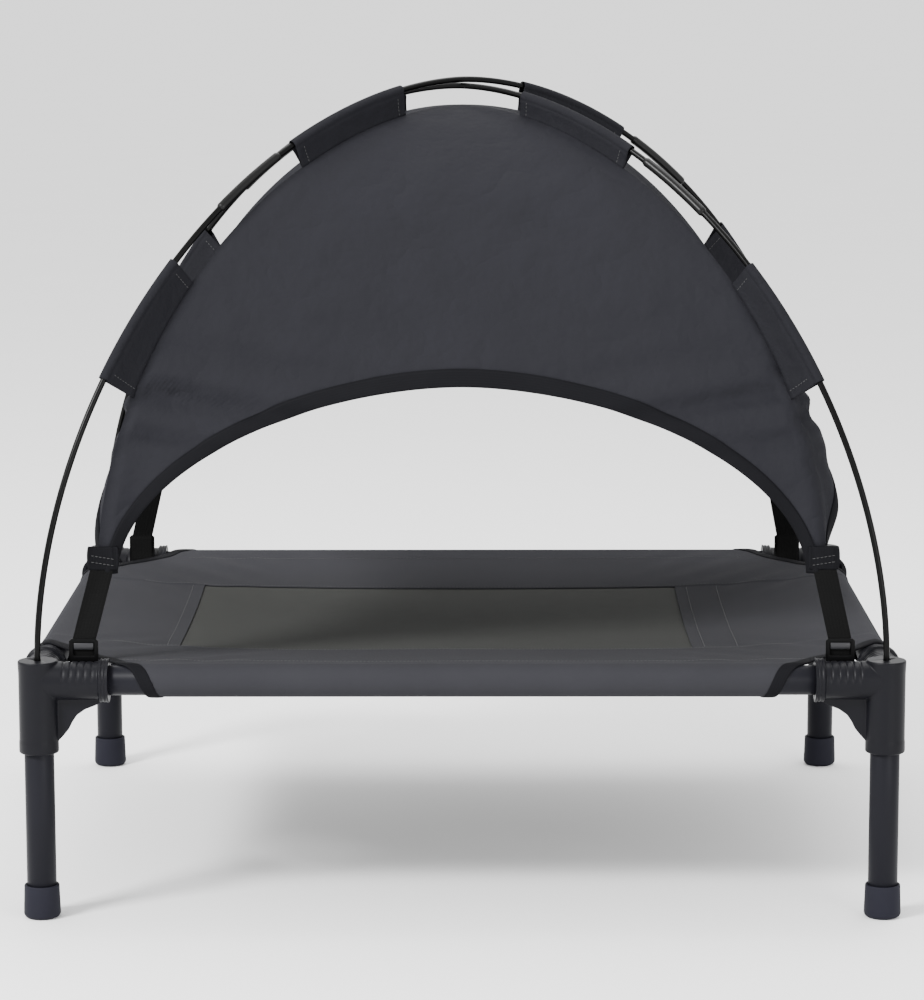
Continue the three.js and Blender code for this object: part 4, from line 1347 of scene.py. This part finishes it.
# %% Cuffs
CUFF_SIZE = (27 * MM, 4.8 * MM, 20 * MM)
CUFF_FOLD = 0.6 * MM
CUFF_ASIDE = {-1: -4.5 * MM, 1: -2.0 * MM}    # the tent sits a little off centre
ROUNDNESS = 0.45    # 1 would give an ellipse, 0 a plain box
ACROSS = np.array([1.0, 0, 0])
UPWARD = np.array([0, 0, 1.0])


def gathered_block(centre, out):
    """Points and flat places of a soft block with upright folds."""
    width, depth, height = CUFF_SIZE
    rows, sides = 14, 56
    turn = np.linspace(0, 2 * math.pi, sides, endpoint=False)
    c, s = np.cos(turn), np.sin(turn)
    points, uv = [], []
    for t in np.arange(rows) / (rows - 1):
        swell = 1.0 + 0.03 * math.sin(t * math.pi) - 0.07 * (1 - t) ** 8 - 0.05 * t ** 8
        x = width / 2 * swell * np.sign(c) * np.abs(c) ** ROUNDNESS
        fold = CUFF_FOLD * np.sin(x / width * 26 + 1.2 * t) * (0.4 + 0.6 * t)
        y = depth / 2 * swell * np.sign(s) * np.abs(s) ** ROUNDNESS + fold * np.sign(s)
        points.append(centre + x[:, None] * ACROSS + y[:, None] * out + UPWARD * ((t - 0.5) * height))
        uv.append(np.column_stack([x, np.full(sides, t * height)]))
    return np.concatenate(points), closed_faces(rows, sides), np.concatenate(uv)


def cuff(corner, sx, sy):
    """One gathered corner with its two slanting rows of stitches."""
    reach = CUFF_REACH / diagonal
    out = np.array([0, float(sy), 0])
    centre = np.array([sx * (half_x * reach + CUFF_ASIDE[sx]), sy * (half_y * reach + 0.2 * MM),
                       CUFF_Z + 13.5 * MM])
    points, faces, uv = gathered_block(centre, out)
    outward(piece(f"cuff_{corner}", points, faces, "tent", "binding", uv=uv))
    rows = []
    for height in (-4.5, 1.1):
        x = np.linspace(-11.5, 11.5, 30) * MM
        z = height * MM + x * sx * 0.16
        line = centre + x[:, None] * ACROSS + z[:, None] * UPWARD + out * 2.95 * MM
        rows.append((line, np.broadcast_to(out, line.shape)))
    stitched(f"cuff_stitches_{corner}", rows, "tent", "binding")


for corner, (sx, sy) in CORNERS.items():
    cuff(corner, sx, sy)

# %% [markdown]
# ## Pole sleeves
# Each pole passes through four short sleeves. A sleeve is a strip of cloth laid over the pole
# with its two edges sewn into the ridge, so its section is a U that hugs the pole and narrows
# to the seam. How deep the U is changes along the sleeve, so the gap between pole and ridge is
# measured at each row. A line of stitches shows near each open end.

# %% Pole sleeves
SLEEVES = {"upper": (70 * MM, 190 * MM), "lower": (316 * MM, 390 * MM)}
LOOP = 4.3 * MM
SLEEVE_CLOTH = 0.6 * MM
PUCKER = 0.9 * MM


def ridge_gap(distance, height, inward):
    """How far from a point of the pole, along a direction, the canopy's ridge lies."""
    near, far = np.zeros(len(distance)), np.full(len(distance), 0.12)
    for _ in range(30):
        middle = (near + far) / 2
        d, z = distance + inward[:, 0] * middle, height + inward[:, 1] * middle
        up = np.clip((z - CUFF_Z) / RIDGE_RISE, 0, None)
        outside = np.abs(d / CUFF_REACH) ** RIDGE_SQUARENESS + up ** RIDGE_SQUARENESS > 1
        near, far = np.where(outside, middle, near), np.where(outside, far, middle)
    return near


def sleeve_section(gap, pucker):
    """One row of a sleeve: down one side, round the pole and down the other, as x in and y out."""
    arc = np.radians(np.linspace(128, -128, 17))
    down = np.linspace(0.06, 1, 9)
    end_x, end_y = -math.cos(arc[0]) * LOOP, math.sin(arc[0]) * LOOP
    x = end_x + (gap + 0.8 * MM - end_x) * down
    y = end_y * (1 - down) ** 1.5 + 0.7 * MM
    ruffle = PUCKER * pucker * np.maximum(np.sin(down * math.pi), 0) ** 0.7
    return (np.concatenate([x[::-1], -np.cos(arc) * LOOP, x]),
            np.concatenate([(y + ruffle)[::-1], np.sin(arc) * LOOP, ruffle - y]), len(down))


def pole_sleeve(level, which, end, sign):
    """One sleeve and the two lines of stitches across its ends."""
    low, high = SLEEVES[which]
    rows = 64
    angle = np.linspace(float(pole_angle(sign * low)), float(pole_angle(sign * high)), rows)
    d, z = pole_at(level, angle)
    tangent = unit(np.gradient(np.column_stack([d, z]), axis=0))
    inward = np.column_stack([-tangent[:, 1], tangent[:, 0]])
    inward *= np.sign(-(inward[:, 0] * d + inward[:, 1] * (z - CUFF_Z)))[:, None]
    gap = ridge_gap(d, z, inward)
    along = np.concatenate([[0], np.cumsum(np.hypot(np.diff(d), np.diff(z)))])
    seed = low * 40 + sign + (3 if level == "upper" else 0)
    pucker = cloud(np.column_stack([along, np.zeros(rows), np.full(rows, seed)]), 0.011, seed)
    points, uv = [], []
    for i in range(rows):
        x, y, side = sleeve_section(gap[i], pucker[i])
        points.append(in_plane(level, d[i] + inward[i, 0] * x, z[i] + inward[i, 1] * x, y))
        uv.append(np.column_stack([np.arange(len(x)) * 1.4 * MM, np.full(len(x), along[i])]))
    points = np.array(points)
    made = piece(f"pole_sleeve_{which}_{end}", points.reshape(-1, 3), grid_faces(*points.shape[:2]),
                 "tent", "sleeve_fabric", [f"sleeve_{which}_{end}"], uv=np.concatenate(uv))
    thickened(made, SLEEVE_CLOTH)
    rows_of_thread = []
    for at in (8 * MM, along[-1] - 8 * MM):
        row = points[int(np.argmin(np.abs(along - at)))]
        for sign_out, line in ((1, row[:side]), (-1, row[-side:])):
            aside = np.array([POLES[level][0] * half_y, -half_x, 0]) / diagonal * sign_out
            rows_of_thread.append((line + aside * 0.3 * MM, np.broadcast_to(aside, line.shape)))
    stitched(f"sleeve_stitches_{which}_{end}", rows_of_thread, "tent", "sleeve_fabric")
    print(made.name, round(along[-1], 3), "m long")


for level, (_, _, right, left) in POLES.items():
    for which in SLEEVES:
        pole_sleeve(level, which, right, 1)
        pole_sleeve(level, which, left, -1)

# %% [markdown]
# ## Straps
# A strap of black webbing is sewn into each cuff and hangs down to its hook, where it passes
# behind the bar. It is pulled tight, so it needs only a smooth line through four places and a
# flat section that curls a little at its edges.

# %% Straps
STRAP_WIDTH = 20 * MM
WEBBING = 1.4 * MM


def strap(corner, sx, sy):
    """One strap, from the middle of its cuff to below the bar of its hook."""
    reach = CUFF_REACH / diagonal
    top = np.array([sx * (half_x * reach + CUFF_ASIDE[sx]), sy * half_y * reach, CUFF_Z + 8 * MM])
    hook_low, hook_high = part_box(f"strap_hook_{corner}")
    hook_x = (hook_low.x + hook_high.x) / 2
    inset = sy * (half_y - JAW - PLATE / 2 - 1.2 * MM)
    stops = np.array([[hook_x, inset, rail_z + 7.5 * MM], [hook_x, inset, rail_z + 30 * MM],
                      [hook_x + (top[0] - hook_x) * 0.1, inset, rail_z + 36 * MM], top])
    line = smooth_line(stops, 46)
    across = np.linspace(-0.5, 0.5, 9) * STRAP_WIDTH
    points = line[:, None] + across[None, :, None] * ACROSS
    points[..., 1] -= sy * (np.abs(across) / (STRAP_WIDTH / 2)) ** 2 * 0.25 * MM
    along = distance_along(line)
    made = piece(f"webbing_{corner}", points.reshape(-1, 3), grid_faces(*points.shape[:2]), "tent",
                 "webbing", [f"strap_{corner}"], uv=cloth_map(across, along))
    modifier(made, "SOLIDIFY", thickness=WEBBING, offset=0)
    modifier(made, "BEVEL", width=0.4 * MM, segments=2, angle_limit=math.radians(50))
    apply_all(made)
    print(made.name, round(along[-1], 3), "m long")


for corner, (sx, sy) in CORNERS.items():
    strap(corner, sx, sy)
